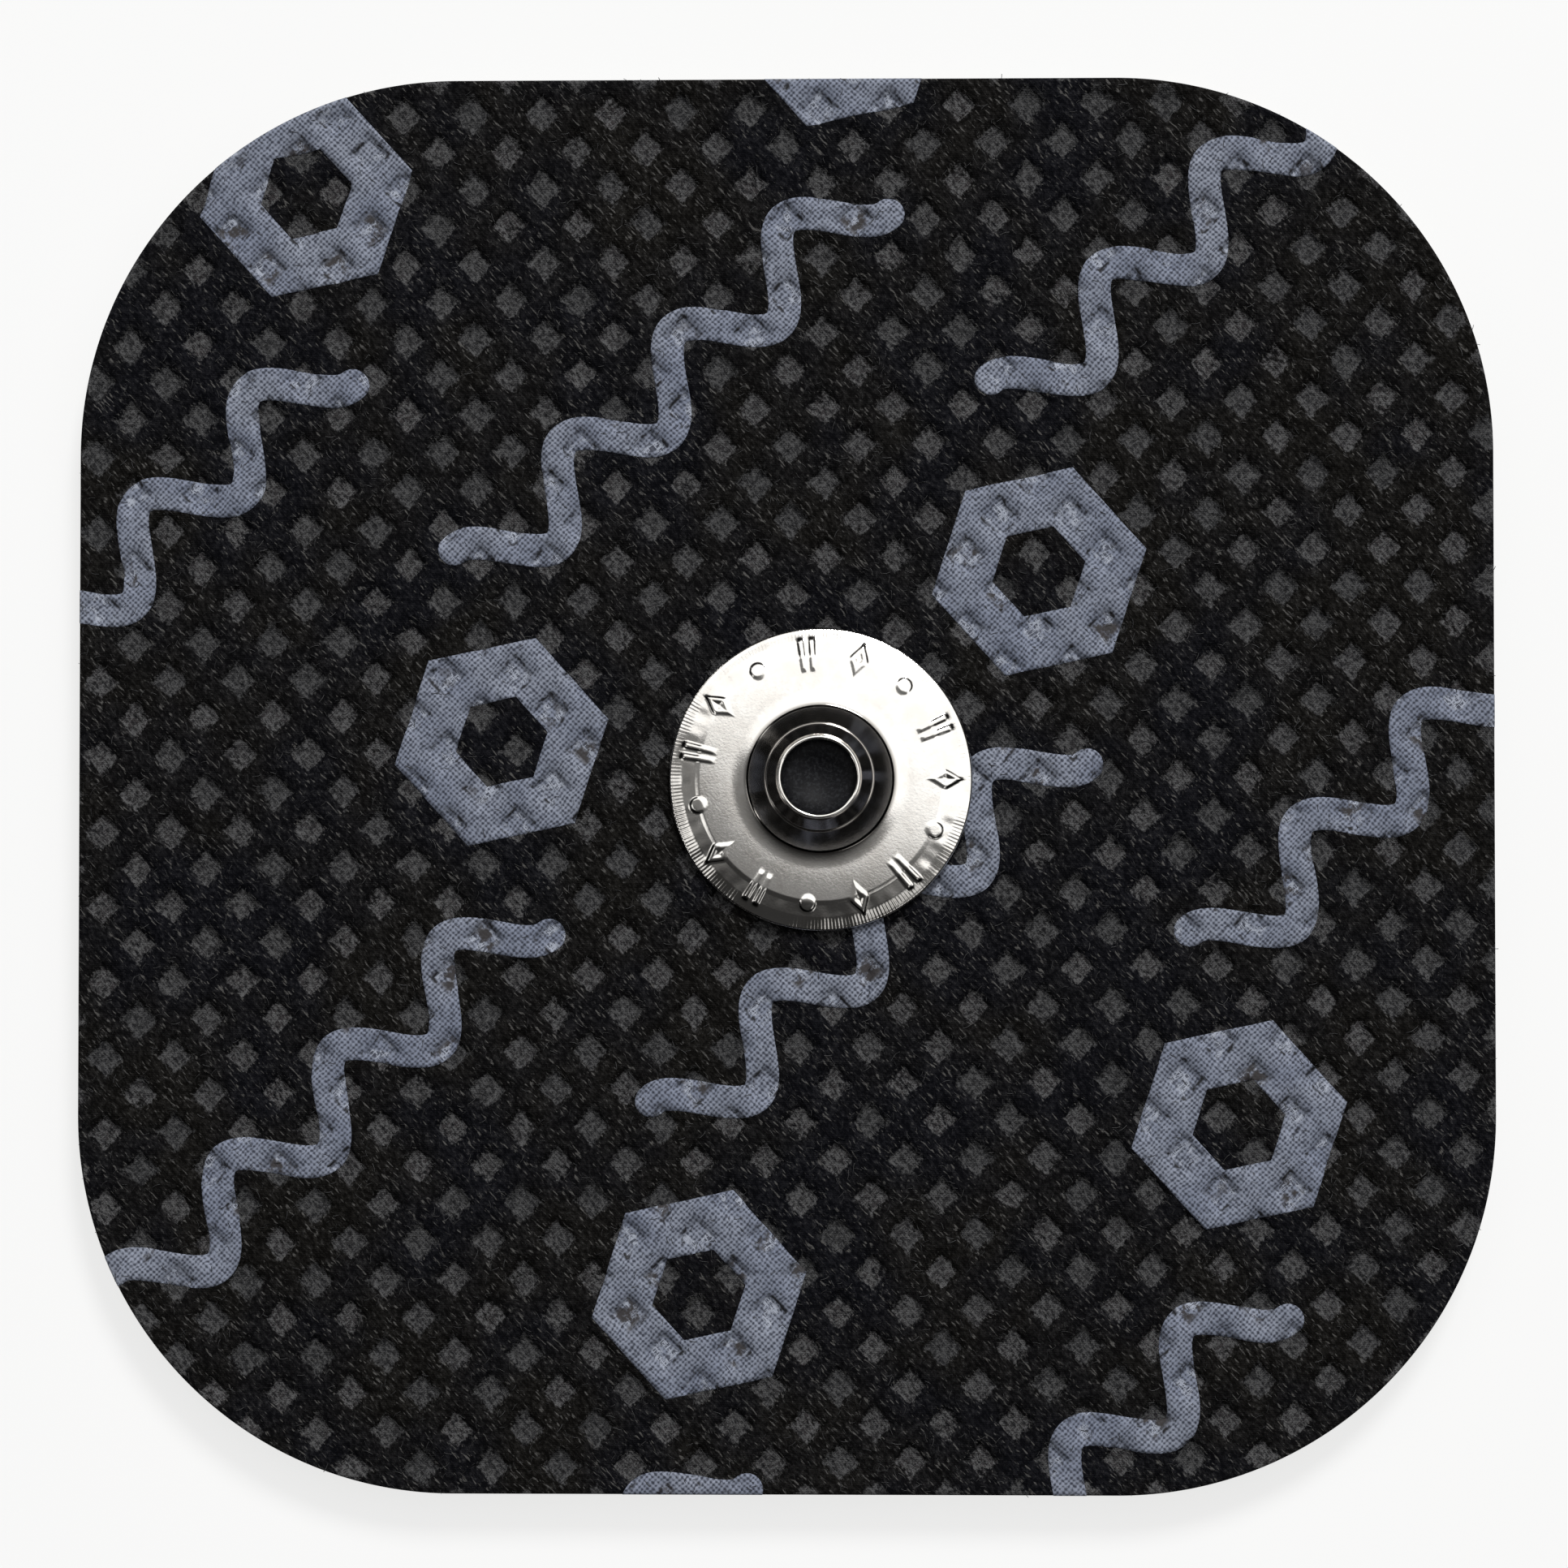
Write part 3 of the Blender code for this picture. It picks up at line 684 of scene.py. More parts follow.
def end_tree(tree, shape, material):
    realized = fed_node("GeometryNodeRealizeInstances", {0: shape})[0]
    smooth = fed_node("GeometryNodeSetShadeSmooth", {0: realized})[0]
    values = {"Geometry": smooth, "Material": material}
    coated = fed_node("GeometryNodeSetMaterial", values)[0]
    fed_node("NodeGroupOutput", {0: coated})
    return tree


def run_nodes(obj, tree, inputs):
    """The mesh that a Geometry Nodes tree makes of an object, as plain data."""
    modifier = obj.modifiers.new(tree.name, "NODES")
    modifier.node_group = tree
    for name, value in inputs.items():
        modifier[tree.interface.items_tree[name].identifier] = value
    graph = bpy.context.evaluated_depsgraph_get()
    mesh = bpy.data.meshes.new_from_object(obj.evaluated_get(graph))
    obj.modifiers.remove(modifier)
    return mesh


# The embossed cloth and its print


def named_number(tree, name):
    """The number that each point of a mesh carries under a name."""
    values = {"Name": name}
    return add_node(tree, "GeometryNodeInputNamedAttribute", values, data_type="FLOAT")[0]


def with_number(shape, name, value):
    """A shape whose points carry a number under a name."""
    values = {"Geometry": shape, "Name": name, "Value": value}
    return fed_node("GeometryNodeStoreNamedAttribute", values, data_type="FLOAT")[0]


def emboss_tree():
    """Presses the bond points into a flat sheet and lets the cloth swell between them."""
    tree, given = start_tree("emboss", EMBOSS_INPUTS)
    position = add_node(tree, "GeometryNodeInputPosition")[0]
    fine = scaled(position, 1 / MM)
    place = vector_maths("SUBTRACT", position, given["Anchor"])
    parts = split(rotated(place, times(given["Rows turn"], -1.0)))
    across = maths("DIVIDE", parts["X"], given["Pitch across"])
    along = maths("DIVIDE", parts["Y"], given["Pitch along"])
    offsets = []
    swells = []
    numbers = []
    for operation in ("ADD", "SUBTRACT"):
        line = maths(operation, across, along)
        nearest = maths("ROUND", line)
        numbers.append(nearest)
        offsets.append(maths("ABSOLUTE", maths("SUBTRACT", line, nearest)))
        swells.append(maths("COSINE", times(line, 2 * math.pi)))
    squares = [maths("POWER", given[name], 2.0) for name in ("Pitch across", "Pitch along")]
    spacing = times(maths("SQRT", maths("ADD", *squares)), 0.5)
    away = times(maths("MAXIMUM", *offsets), spacing)
    wander = times(given["Wander"], PIT_RAGGEDNESS)
    away = maths("MULTIPLY_ADD", raggedness(fine), wander, away)
    half = times(given["Pit side"], 0.5)
    outer = maths("MULTIPLY_ADD", given["Wall width"], 0.5, half)
    inner = maths("MULTIPLY_ADD", given["Wall width"], -0.5, half)
    bond = ramp(away, inner, outer, 1.0, 0.0)
    fray_start = maths("MULTIPLY_ADD", given["Fray"], -1.5, half)
    fray_end = maths("MULTIPLY_ADD", given["Fray"], 0.5, half)
    near = ramp(away, fray_start, fray_end, 1.0, 0.0)
    values = {"Vector": joined(X=numbers[0], Y=numbers[1])}
    pit = fed_node("ShaderNodeTexWhiteNoise", values, noise_dimensions="3D")["Value"]
    swell = maths("MULTIPLY_ADD", maths("ADD", *swells), -0.25, -0.5)
    grain = maths("SUBTRACT", noise(fine, scale=2.2, detail=3.0, roughness=0.6), 0.62)
    height = times(swell, given["Pillow height"])
    height = maths("MULTIPLY_ADD", grain, given["Grain height"], height)
    drop = times(bond, given["Pit depth"])
    height = maths("SUBTRACT", height, drop)
    free = named_number(tree, "free")
    height = maths("MULTIPLY_ADD", height, free, given["Lift"])
    drift = noise(fine, scale=0.9, output="Color")
    drift = vector_maths("SUBTRACT", drift, (0.5, 0.5, 0.5))
    drift = vector_maths("MULTIPLY", drift, (1.0, 1.0, 0.0))
    drift = scaled(drift, times(given["Wander"], free))
    marked = given["Geometry"]
    for name, value in (("bond", bond), ("near", near), ("pit", pit)):
        marked = with_number(marked, name, value)
    offset = vector_maths("ADD", drift, joined(Z=height))
    values = {"Geometry": marked, "Offset": offset}
    moved = fed_node("GeometryNodeSetPosition", values)[0]
    return end_tree(tree, moved, given["Material"])


def lattice_points():
    """Points of the cloth on lines beside each row of pits, closest together at the pits' walls."""
    turn = Matrix.Rotation(PIT_ROWS_TURN, 2)
    rising = turn @ Vector((PIT_PITCH_X, PIT_PITCH_Y)) / 2
    falling = turn @ Vector((PIT_PITCH_X, -PIT_PITCH_Y)) / 2
    beside = [side * line / rising.length for line in PIT_LINES for side in (-1, 1)]
    count = math.ceil((PAD_SIDE / 2 + PIT_ANCHOR.length) / min(PIT_PITCH_X, PIT_PITCH_Y) * 2)
    lines = np.add.outer(np.arange(-count, count + 1), [0.0, 0.5] + beside).ravel()
    u, v = (grid.ravel()[:, None] for grid in np.meshgrid(lines, lines))
    points = np.array(PIT_ANCHOR) + u * np.array(rising) + v * np.array(falling)
    on_pad = edge_distance(points) > EDGE_ROLL + EDGE_STEP / 4
    off_hole = np.linalg.norm(points - np.array(SNAP_CENTRE), axis=1) > HOLE_RADIUS + EDGE_STEP / 2
    return points[on_pad & off_hole]


def hexagon_outlines():
    """The outlines of a hexagon and of the window in it, round the origin."""
    rings = []
    for across in (HEXAGON_ACROSS_FLATS, HEXAGON_WINDOW):
        corner = across / math.sqrt(3)
        turn = math.degrees(HEXAGON_TURN)
        ring = on_arc((0, 0), corner, turn, turn + 300, 5)
        rings.append(resampled(ring, corner / HEXAGON_SIDE_STEPS))
    return rings


def wave_outlines():
    """The outline of a wave band with round ends, round the origin."""
    half = WAVE_STROKE / 2
    reach = WAVE_COUNT * WAVE_LENGTH / 2
    upper = []
    lower = []
    for along in np.linspace(-reach, reach, WAVE_STEPS + 1):
        phase = 2 * math.pi * along / WAVE_LENGTH
        slope = WAVE_AMPLITUDE * 2 * math.pi / WAVE_LENGTH * math.cos(phase)
        place = Vector((along, WAVE_AMPLITUDE * math.sin(phase)))
        side = Vector((-slope, 1)).normalized() * half
        upper.append(place + side)
        lower.append(place - side)
    right = round_end(lower[-1], upper[-1])
    left = round_end(upper[0], lower[0])
    turn = Matrix.Rotation(WAVE_TURN, 2)
    return [[turn @ point for point in lower + right + upper[::-1] + left]]


def round_end(start, end):
    """The points of a half circle that turns anticlockwise from one point to another."""
    spoke = start - (start + end) / 2
    angle = math.degrees(math.atan2(spoke.y, spoke.x))
    return on_arc((start + end) / 2, spoke.length, angle, angle + 180, CAP_STEPS)[1:-1]


def print_site(node):
    """The kind of motif that a print node is, its place, and the end that it keeps if it is parted."""
    kind, row, column, end = re.match(r"print_(\w+?)_r(\d+)_c(\d+)(_\w+)?$", node).groups()
    steps = (int(column) - ANCHOR_CELL) * COLUMN_STEP + (int(row) - ANCHOR_CELL) * ROW_STEP
    offset = WAVE_OFFSET if kind == "wave" else Vector((0, 0))
    return kind, PRINT_ANCHOR + offset + steps, end


def lay_out(outlines):
    """Triangles over all outlines with the lattice's points in them, and which outlines hold each."""
    vertices = [Vector(point) for point in lattice_points()]
    faces = []
    for outline in outlines:
        faces.append(list(range(len(vertices), len(vertices) + len(outline))))
        vertices += outline
    made = geometry.delaunay_2d_cdt(vertices, [], faces, 1, 1e-8, True)
    places = np.array([tuple(place) for place in made[0]])
    triangles = np.array(made[2])
    holders = np.zeros((len(triangles), len(outlines)), bool)
    for number, owners in enumerate(made[5]):
        holders[number, owners] = True
    return places, triangles, holders


def patch(places, triangles, drop=0.0):
    """A mesh of some triangles of the layout, rolled down at the cut edge.

    Each point says how free the cloth is to move there, from 0 at the edge to 1 well inside it.
    """
    used, renumbered = np.unique(triangles, return_inverse=True)
    inside = edge_distance(places[used])
    rolled = EDGE_DROP * (1 - np.clip(inside / EDGE_ROLL, 0, 1)) ** 2
    corners = np.column_stack([places[used], FABRIC_HIGH.z - drop - rolled])
    shape = to_shape(corners, renumbered.reshape(-1, 3).tolist())
    free = shape.verts.layers.float.new("free")
    for vertex, share in zip(shape.verts, np.clip(inside / EDGE_FIRM, 0, 1)):
        vertex[free] = share * share * (3 - 2 * share)
    return shape, free


def drop_walls(shape, free, bottom):
    """Closes the embossed face with walls down to a flat underside."""
    rim = [edge for edge in shape.edges if edge.is_boundary]
    for step in range(1, WALL_STEPS + 1):
        made = bmesh.ops.extrude_edge_only(shape, edges=rim)["geom"]
        kept = 1 - 1 / (WALL_STEPS - step + 1)
        for vertex in (item for item in made if isinstance(item, bmesh.types.BMVert)):
            vertex.co.z = bottom + (vertex.co.z - bottom) * kept
            vertex[free] *= kept
        rim = [item for item in made if isinstance(item, bmesh.types.BMEdge)]
        rim = [edge for edge in rim if edge.is_boundary]
    bmesh.ops.triangle_fill(shape, edges=rim, use_beauty=True, normal=(0, 0, -1))
    bmesh.ops.recalc_face_normals(shape, faces=shape.faces)


def embossed(name, shape, tree, lift, material):
    """The piece that the emboss tree makes of a flat shape."""
    flat = as_object("flat", to_mesh(shape, name))
    mesh = run_nodes(flat, tree, {**EMBOSS_INPUTS, "Lift": lift, "Material": material})
    bpy.data.objects.remove(flat)
    return as_object(name, mesh)


def make_cloth(tree, places, triangles, holders, material):
    """The embossed cloth, whose cut edge is rolled down a little by the die."""
    shape, free = patch(places, triangles[holders[:, 0] & ~holders[:, 1]])
    drop_walls(shape, free, FABRIC_LOW.z)
    return embossed("embossed_cloth", shape, tree, 0.0, material)


def make_ink(tree, node, places, triangles, material):
    """A thin coat of ink that follows the cloth under it."""
    shape, _ = patch(places, triangles, INK_BODY)
    bmesh.ops.solidify(shape, geom=shape.faces, thickness=-INK_BODY)
    bmesh.ops.recalc_face_normals(shape, faces=shape.faces)
    return embossed(node.replace("print", "ink"), shape, tree, INK_LIFT, material)


def fibre_tree():
    """Scatters short bent fibres over the face of the cloth, clear of the stud."""
    tree, given = start_tree("fibres", FIBRE_INPUTS)
    normal = add_node(tree, "GeometryNodeInputNormal")[0]
    upward = vector_maths("DOT_PRODUCT", normal, (0, 0, 1))
    facing_up = maths("GREATER_THAN", upward, FACING_UP)
    position = add_node(tree, "GeometryNodeInputPosition")[0]
    away = distance_from(position, given["Stud centre"])
    clear = maths("GREATER_THAN", away, given["Stud radius"])
    values = {
        "Mesh": given["Geometry"],
        "Selection": times(facing_up, clear),
        "Density": given["Density"],
        "Seed": given["Seed"],
    }
    points = fed_node("GeometryNodeDistributePointsOnFaces", values)["Points"]
    half = times(given["Fibre length"], 0.5)
    bend = times(half, FIBRE_BEND)
    rise = times(half, FIBRE_RISE)
    values = {
        "Resolution": 3,
        "Start": joined(X=times(half, -1.0)),
        "Middle": joined(Y=bend, Z=rise),
        "End": joined(X=half),
    }
    line = fed_node("GeometryNodeCurveQuadraticBezier", values)[0]
    values = {"Resolution": 3, "Radius": given["Fibre radius"]}
    section = fed_node("GeometryNodeCurvePrimitiveCircle", values)[0]
    values = {"Curve": line, "Profile Curve": section, "Fill Caps": True}
    fibre = fed_node("GeometryNodeCurveToMesh", values)[0]
    roll, pitch = FIBRE_TILT
    values = {"Min": (-roll, -pitch, 0.0), "Max": (roll, pitch, 2 * math.pi), "Seed": given["Seed"]}
    turns = fed_node("FunctionNodeRandomValue", values, data_type="FLOAT_VECTOR")[0]
    shortest, longest = FIBRE_SCALES
    values = {"Min": shortest, "Max": longest, "Seed": given["Seed"]}
    scales = fed_node("FunctionNodeRandomValue", values, data_type="FLOAT")[1]
    values = {"Points": points, "Instance": fibre, "Rotation": turns, "Scale": scales}
    fibres = fed_node("GeometryNodeInstanceOnPoints", values)[0]
    return end_tree(tree, fibres, given["Material"])


def make_fibres(cloth, material):
    inputs = {**FIBRE_INPUTS, "Material": material}
    return as_object("loose_fibres", run_nodes(cloth, fibre_tree(), inputs))


def make_fabric_and_print(finishes):
    """The cloth with every coat of ink on it, all cut from one layout of triangles."""
    tree = emboss_tree()
    nodes = sorted(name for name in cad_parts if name.startswith("print_"))
    drawings = {"hexagon": hexagon_outlines(), "wave": wave_outlines()}
    rolled = pad_outline(EDGE_ROLL)
    hole = on_arc(SNAP_CENTRE, HOLE_RADIUS, 0, 360, HOLE_STEPS)[:-1]
    outlines = [pad_outline(0.0), hole, rolled, pad_outline(EDGE_ROLL / 3)]
    first = {}
    for node in nodes:
        kind, site, _ = print_site(node)
        if tuple(site) not in first:
            first[tuple(site)] = len(outlines)
            outlines += [[site + point for point in outline] for outline in drawings[kind]]
    places, triangles, holders = lay_out(outlines)
    cloth = make_cloth(tree, places, triangles, holders, finishes["black_nonwoven"])
    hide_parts("backing_fabric")
    middles = places[triangles].mean(axis=1)
    covered = np.linalg.norm(middles - np.array(SNAP_CENTRE), axis=1) < STUD_COVER_RADIUS
    pieces = [cloth, make_fibres(cloth, finishes["loose_fibre"])]
    for node in nodes:
        kind, site, end = print_site(node)
        number = first[tuple(site)]
        kept = holders[:, 0] & holders[:, number] & ~covered
        if kind == "hexagon":
            kept &= ~holders[:, number + 1]
        if end:
            kept &= (middles[:, 0] < site.x) == (end == "_left")
        ink = make_ink(tree, node, places, triangles[kept], finishes["slate_ink"])
        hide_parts(node)
        pieces.append(ink)
    return pieces


# The turned pieces


def turned(name, section, steps, material, relief=None):
    """A closed or axis-to-axis section turned round the snap's axis, with a relief raised on it."""
    section = np.array(section)
    angles = np.arange(steps) * 2 * math.pi / steps
    radius, height = (np.tile(column, (steps, 1)) for column in section.T)
    if relief:
        height = height + relief(radius, angles[:, None], np.arange(len(section))[None, :])
    x = SNAP_CENTRE.x + radius * np.cos(angles)[:, None]
    y = SNAP_CENTRE.y + radius * np.sin(angles)[:, None]
    places = np.stack([x, y, height], axis=2).reshape(-1, 3)
    count = len(section)
    on_axis = section[0, 0] == 0
    faces = []
    for i in range(steps):
        here = i * count
        there = (i + 1) % steps * count
        for j in range(count - 1 if on_axis else count):
            k = (j + 1) % count
            faces.append((here + j, here + k, there + k, there + j))
    shape = to_shape(places, faces)
    bmesh.ops.remove_doubles(shape, verts=shape.verts, dist=1e-8)
    bmesh.ops.recalc_face_normals(shape, faces=shape.faces)
    for face in shape.faces:
        face.smooth = True
    return as_object(name, to_mesh(shape, name), material)


def along_line(start, end, steps):
    """Points from one point towards another, without the last."""
    return [Vector(start).lerp(Vector(end), i / steps) for i in range(steps)]


def stud_section():
    """The stud's section from the mouth over the lip, down the outside and back up inside."""
    lip = LIP_WIDTH / 2
    lip_centre = Vector((MOUTH_RADIUS + lip, POST_HEIGHT - lip))
    bulb_centre = Vector((BULB_RADIUS - BULB_ROUND, BULB_HEIGHT))
    ledge = bulb_centre + Vector((0, BULB_ROUND))
    outside = along_line((MOUTH_RADIUS, POST_HEIGHT - LIP_DEPTH), (MOUTH_RADIUS, lip_centre[1]), 2)
    outside += on_arc(lip_centre, lip, 180, 20, LIP_STEPS)
    shoulder = ledge + Vector((-BULB_LEDGE, BULB_LEDGE / 3))
    lip_foot = lip_centre + Vector((lip * 0.98, -CREASE_WIDTH))
    cone_end = shoulder + (lip_foot - shoulder) * 0.04
    outside += along_line(lip_foot, cone_end, CONE_STEPS)
    outside += [cone_end, shoulder]
    outside += on_arc(bulb_centre, BULB_ROUND, 75, -35, BULB_STEPS)
    outside += foot_curve(0.0, FOOT_STEPS)
    outside += flange_section()
    wall = FLANGE_RADIUS - STUD_WALL
    inside = [
        Vector((wall, -FLANGE_RISE)),
        Vector((wall, -RIM_DROP - STUD_WALL)),
        Vector((SEAT_RADIUS, -SEAT_DISH - STUD_WALL)),
    ]
    inside += foot_curve(STUD_WALL, INNER_FOOT_STEPS)[::-1]
    inside += [
        Vector((BULB_RADIUS - STUD_WALL, BULB_HEIGHT)),
        Vector((MOUTH_RADIUS + STUD_WALL, POST_HEIGHT - LIP_DEPTH)),
    ]
    section = [(point.x, SEAT_HEIGHT + point.y) for point in outside + inside]
    return section, len(outside)


def foot_curve(wall, steps):
    """The hollow flare from the neck down to the flange, or its inner side one wall deeper."""
    slopes = np.radians(np.linspace(FOOT_END_SLOPE, FOOT_START_SLOPE, steps + 1))
    width = math.sin(slopes[0]) - math.sin(slopes[-1])
    radius = (FOOT_RADIUS - NECK_RADIUS) / width
    rise = (NECK_HEIGHT - FOOT_RISE) / (radius * (math.cos(slopes[-1]) - math.cos(slopes[0])))
    points = []
    for slope in slopes:
        place = Vector((math.sin(slopes[0]) - math.sin(slope), 0)) * radius
        place.y = radius * rise * (math.cos(slopes[-1]) - math.cos(slope))
        normal = Vector((math.sin(slope), math.cos(slope)))
        points.append(Vector((NECK_RADIUS, FOOT_RISE)) + place - wall * normal)
    return points


def flange_section():
    """The upper face of the flange from the fillet outwards, and down round its rim."""
    points = []
    seat_start = FOOT_RADIUS + CREASE_WIDTH
    for radius in np.linspace(seat_start, SEAT_RADIUS - CREASE_WIDTH / 2, SEAT_STEPS + 1):
        share = (radius - seat_start) / (SEAT_RADIUS - seat_start)
        near_foot = max(0.0, (SEAT_START_RADIUS - radius) / (SEAT_START_RADIUS - FOOT_RADIUS))
        points.append(Vector((radius, FOOT_RISE * near_foot**2 - SEAT_DISH * share**2)))
    band_start = (SEAT_RADIUS + SEAT_STEP_WIDTH, -SEAT_DISH - SEAT_STEP_DROP)
    band_end = (BAND_RADIUS, -SEAT_DISH - BAND_DROP)
    points += along_line(band_start, band_end, BAND_STEPS)
    points += along_line(band_end, (RIM_RADIUS, -RIM_DROP), RIM_STEPS)
    edge = FLANGE_RADIUS - RIM_RADIUS
    points += on_arc((RIM_RADIUS, -RIM_DROP - edge), edge, 90, 0, RIM_STEPS)
    points.append(Vector((FLANGE_RADIUS, -FLANGE_RISE)))
    return points


def smooth_mask(distance, edge):
    """1 inside a shape, 0 outside it, with a soft edge of the given width."""
    share = np.clip(0.5 - distance / edge, 0, 1)
    return share * share * (3 - 2 * share)


def mark_mask(kind, across, along):
    """How much one mark covers a place, measured from the mark's middle."""
    half_width = MARK_WIDTH / 2
    half_height = MARK_HEIGHT / 2
    if kind == 0:
        reach = np.abs(across) / half_width + np.abs(along) / half_height - 1
        lozenge = reach * half_width * LOZENGE_SLANT
        return smooth_mask(np.abs(lozenge + MARK_STROKE / 2) - MARK_STROKE / 2, MARK_EDGE)
    if kind == 1:
        bars = np.abs(np.abs(across) - half_width * BARS_APART) - MARK_STROKE / 2
        return smooth_mask(np.maximum(bars, np.abs(along) - half_height), MARK_EDGE)
    return smooth_mask(np.hypot(across, along) - half_width * DOT_SHARE, MARK_EDGE)


def beat(angles, waves, phase):
    """An uneven wave round the axis: the product of two waves that go round so many times."""
    return np.sin(waves[0] * angles + phase) * np.sin(waves[1] * angles)


def stud_relief(outside_count):
    """The struck marks, the uneven band and the ticks of the rim, as a height over the section."""

    def relief(radius, angles, numbers):
        outside = numbers < outside_count
        marked = (np.abs(radius - MARK_RADIUS) < MARK_HEIGHT) & outside
        cover = np.zeros(np.broadcast_shapes(radius.shape, angles.shape))
        for i in range(MARK_COUNT):
            middle = i * 2 * math.pi / MARK_COUNT
            apart = (angles - middle + math.pi) % (2 * math.pi) - math.pi
            mask = mark_mask(i % MARK_KINDS, apart * MARK_RADIUS, radius - MARK_RADIUS)
            cover = np.maximum(cover, mask)
        rise = MARK_RISE + np.where(radius > SEAT_RADIUS, MARK_STEP_SHARE * SEAT_STEP_DROP, 0)
        on_rim = outside & (radius > BAND_RADIUS + SLIVER) & (radius < FLANGE_RADIUS - SLIVER)
        worn = 1 - TICK_WEAR + TICK_WEAR * beat(angles, TICK_WEAR_WAVES, 1.0)
        ticks = TICK_HEIGHT * worn * np.cos(RIM_TICKS * angles)
        on_band = smooth_mask(SEAT_RADIUS + BAND_FADE / 2 - radius, BAND_FADE) * outside
        ripples = BAND_RIPPLE_SHARE * beat(angles, BAND_RIPPLES, 1.0)
        uneven = BAND_WAVINESS * (beat(angles, BAND_SWELLS, 2.0) + ripples)
        return np.where(marked, cover * rise, 0) + np.where(on_rim, ticks, 0) + on_band * uneven

    return relief


def make_stud(material):
    section, outside_count = stud_section()
    steps = RIM_TICKS * STEPS_PER_TICK
    return turned("stud", section, steps, material, stud_relief(outside_count))


def eyelet_section():
    """The eyelet's section, from the dish in the end of its post down to its flange."""
    head_top = EYELET_HIGH.z
    head_bottom = head_top - EYELET_HEAD_THICKNESS
    flare = EYELET_HEAD_RADIUS - EYELET_POST_RADIUS
    flange_top = EYELET_LOW.z + EYELET_FLANGE_THICKNESS
    flange_radius = EYELET_HIGH.x - SNAP_CENTRE.x
    dish = [
        (EYELET_DISH_RADIUS * share, head_top - EYELET_DISH_DEPTH * (1 - share**2) ** 1.5)
        for share in np.linspace(0, 1, EYELET_DISH_STEPS + 1)
    ]
    return dish + [
        (EYELET_HEAD_RADIUS - flare / 2, head_top),
        (EYELET_HEAD_RADIUS - flare / 6, head_top - flare / 6),
        (EYELET_HEAD_RADIUS, head_top - flare / 2),
        (EYELET_HEAD_RADIUS, head_bottom),
        (EYELET_POST_RADIUS, head_bottom - flare),
        (EYELET_POST_RADIUS, flange_top),
        (flange_radius, flange_top),
        (flange_radius, EYELET_LOW.z),
        (0.0, EYELET_LOW.z),
    ]


# The layers under the cloth


def layer(name, low, high, edge, material):
    """A flat layer with a rounded edge, lofted from the pad's outline moved inwards."""
    inset = PAD_SIDE / 2 - high.x
    shape = bmesh.new()
    rings = []
    middle = (low.z + high.z) / 2
    half = (high.z - low.z) / 2
    for turn in np.linspace(-90, 90, LAYER_EDGE_RINGS):
        angle = math.radians(turn)
        height = middle + (half - edge) * np.sign(turn) + edge * math.sin(angle)
        outline = pad_outline(inset + edge * (1 - math.cos(angle)), 2 * EDGE_STEP)
        rings.append([shape.verts.new((*point, height)) for point in outline])
    for below, above in zip(rings, rings[1:]):
        for i in range(len(below)):
            j = (i + 1) % len(below)
            shape.faces.new((below[i], below[j], above[j], above[i]))
    shape.faces.new(rings[0][::-1])
    shape.faces.new(rings[-1])
    bmesh.ops.triangulate(shape, faces=[face for face in shape.faces if len(face.verts) > 4])
    bmesh.ops.recalc_face_normals(shape, faces=shape.faces)
    for face in shape.faces:
        face.smooth = len(face.verts) == 4
    return as_object(name, to_mesh(shape, name), material)


# Stage, light and camera


def make_floor():
    bpy.ops.mesh.primitive_plane_add(size=FLOOR_SIZE, location=(0, 0, -FLOOR_GAP))
    floor = bpy.context.object
    floor.name = "floor"
    floor.data.materials.append(floor_material())


def aimed(place, target, up):
    """The matrix of something that stands at a place, looks at a target and holds up upright."""
    back = (place - target).normalized()
    right = up.cross(back).normalized()
    return Matrix.Translation(place) @ Matrix((right, back.cross(right), back)).transposed().to_4x4()


def make_camera():
    data = bpy.data.cameras.new("camera")
    data.sensor_width = SENSOR_WIDTH
    data.lens = SENSOR_WIDTH * (CAMERA_PLACE - CAMERA_TARGET).length / VIEW_WIDTH
    data.clip_start = 1 * MM
    data.clip_end = 10.0
    camera = as_object("camera", data)
    camera.matrix_world = aimed(CAMERA_PLACE, CAMERA_TARGET, Vector((0, 1, 0)))
    bpy.context.scene.camera = camera


def make_key():
    """A soft disc of light, high over the top of the picture and a little to its right."""
    data = bpy.data.lights.new("key", "AREA")
    data.shape = "DISK"
    data.size = KEY_SIZE
    data.energy = KEY_POWER
    as_object("key", data).matrix_world = aimed(KEY_PLACE, Vector((0, 0, 0)), Vector((0, 0, 1)))


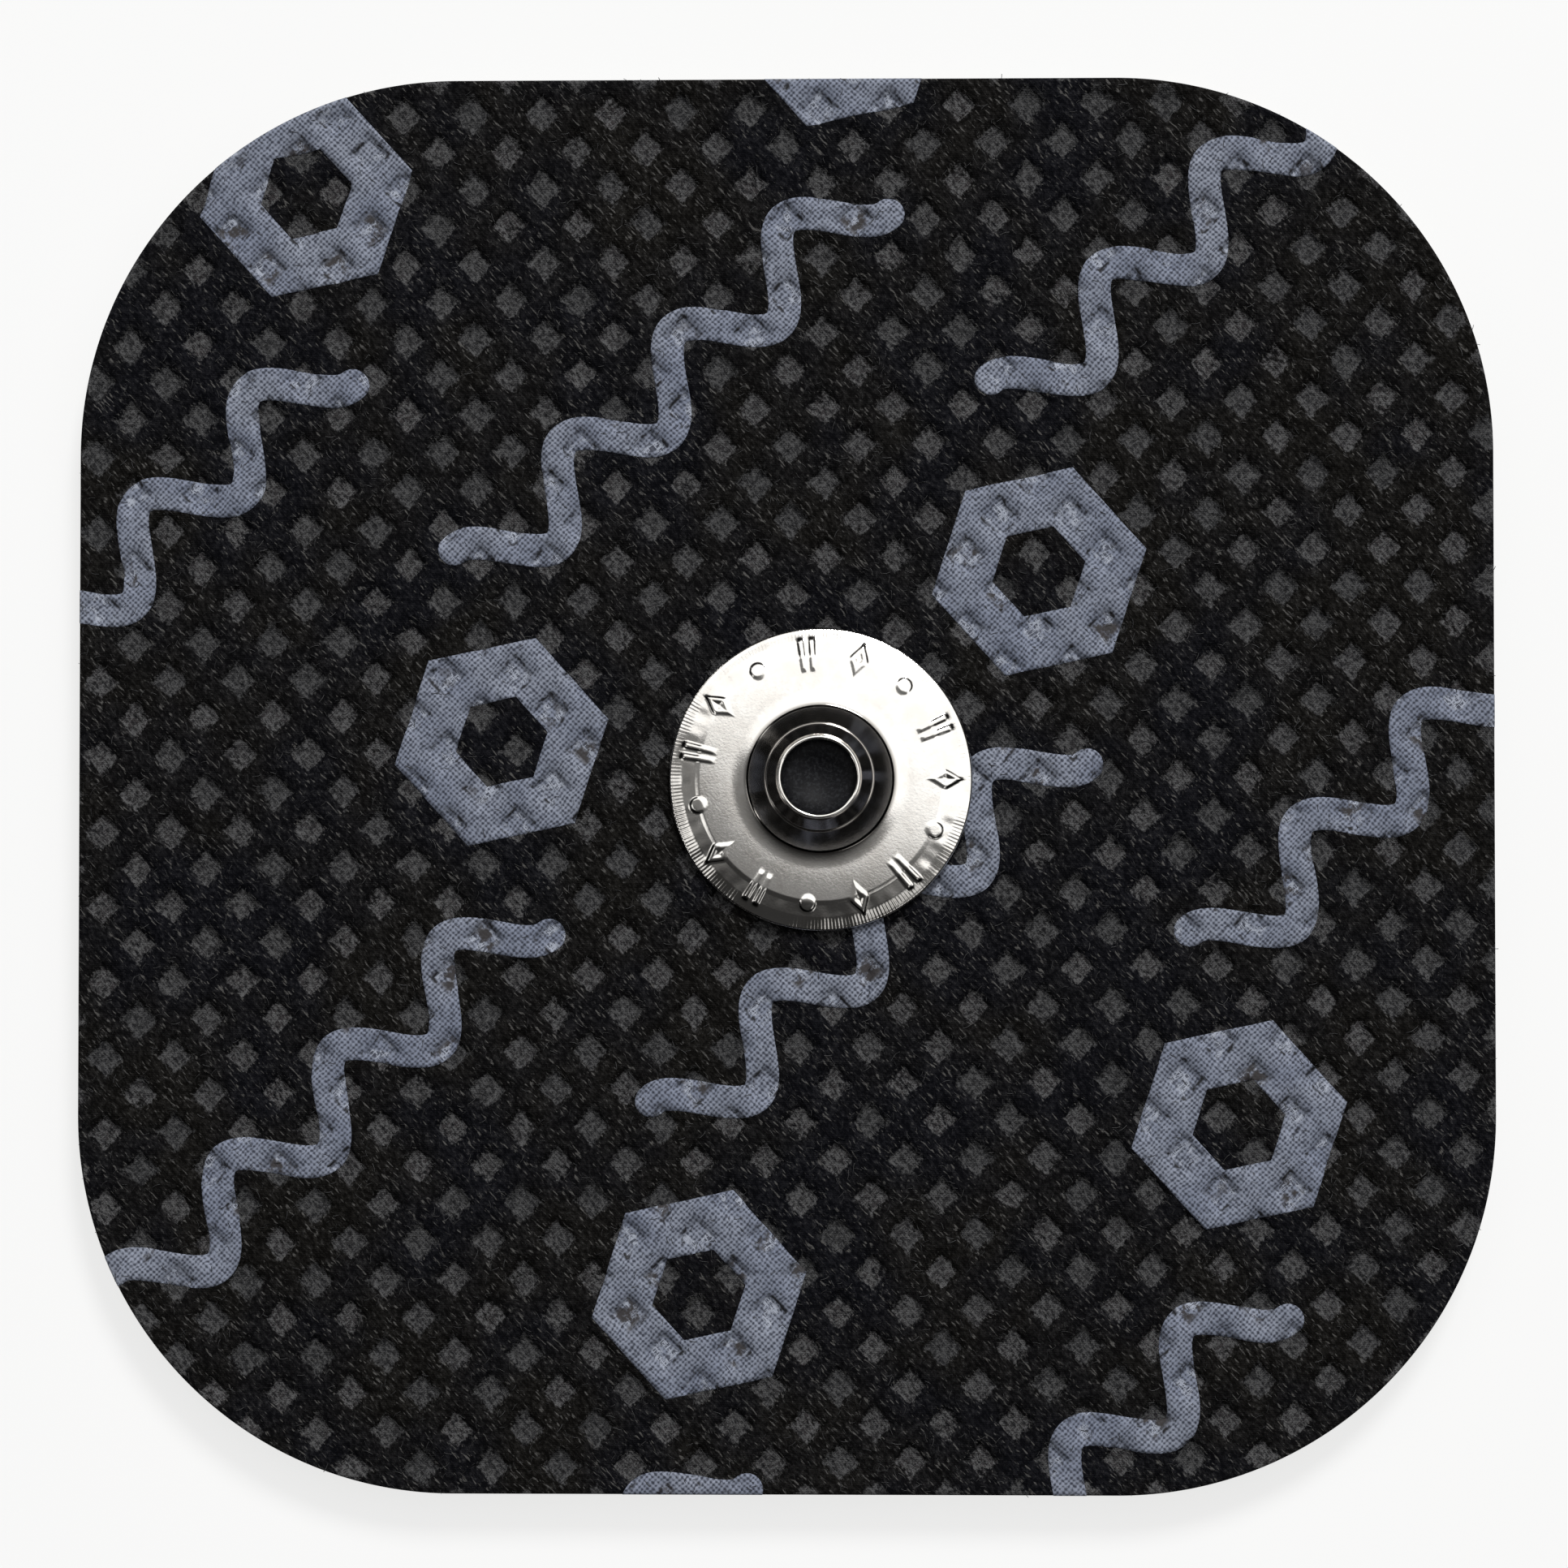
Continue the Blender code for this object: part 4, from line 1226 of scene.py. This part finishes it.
def room_strength(tree):
    """How bright the room is in each direction, as the pad and the stud see it."""
    towards = add_node(tree, "ShaderNodeTexCoord")["Generated"]
    side = vector_maths("DOT_PRODUCT", towards, BRIGHT_SIDE)
    height = split(towards)["Z"]
    dim = vector_maths("DOT_PRODUCT", towards, DIM_SIDE)
    bright_side = ramp(side, *BRIGHT_SIDE_EDGE, *BRIGHT_SIDE_STRENGTHS)
    ceiling = ramp(height, *CEILING_EDGE, *CEILING_STRENGTHS)
    dim_side = ramp(dim, *DIM_SIDE_EDGE, *DIM_SIDE_STRENGTHS)
    room = times(times(bright_side, ceiling), dim_side)
    for direction, width, strength in LOW_LIGHTS:
        facing = vector_maths("DOT_PRODUCT", towards, Vector(direction).normalized())
        room = maths("ADD", room, ramp(facing, math.cos(width), 1.0, 0.0, strength))
    return room


def make_room():
    """A room with a bright side and a dim one, which the camera sees as a plain pale backdrop."""
    world = bpy.data.worlds.new("room")
    world.use_nodes = True
    tree = world.node_tree
    rays = add_node(tree, "ShaderNodeLightPath")
    fill = maths("MULTIPLY_ADD", rays["Is Diffuse Ray"], ROOM_FILL - 1.0, 1.0)
    room = times(room_strength(tree), fill)
    seen = rays["Is Camera Ray"]
    backdrop = times(seen, BACKDROP)
    strength = maths("MULTIPLY_ADD", room, maths("SUBTRACT", 1.0, seen), backdrop)
    background = tree.nodes["Background"]
    tree.links.new(strength, background.inputs["Strength"])
    background.inputs["Color"].default_value = opaque(ROOM_TINT)
    bpy.context.scene.world = world
    bpy.context.scene.view_settings.view_transform = "Standard"


def make_finishes():
    return {
        "black_nonwoven": fabric_material(),
        "slate_ink": ink_material(),
        "loose_fibre": fibre_material(),
        "nickel_plate": nickel_material(),
        "black_plastic": plastic_material(),
        "carbon_film": film_material(),
        "cover_film": cover_material(),
        "clear_gel": gel_material(),
    }


def main():
    finishes = make_finishes()
    make_camera()
    make_key()
    make_room()
    make_floor()

    stud = make_stud(finishes["nickel_plate"])
    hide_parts("snap_stud")
    eyelet = turned("eyelet", eyelet_section(), EYELET_STEPS, finishes["black_plastic"])
    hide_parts("snap_eyelet")
    gel = layer("gel", GEL_LOW, GEL_HIGH, GEL_EDGE_ROUND, finishes["clear_gel"])
    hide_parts("hydrogel")
    film = layer("carbon_sheet", FILM_LOW, FILM_HIGH, FILM_EDGE_ROUND, finishes["carbon_film"])
    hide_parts("carbon_film")
    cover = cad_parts["eyelet_cover"]
    cover.data.materials.clear()
    cover.data.materials.append(finishes["cover_film"])

    pieces = make_fabric_and_print(finishes)
    for piece in [stud, eyelet, gel, film, *pieces]:
        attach(piece, "root")


main()
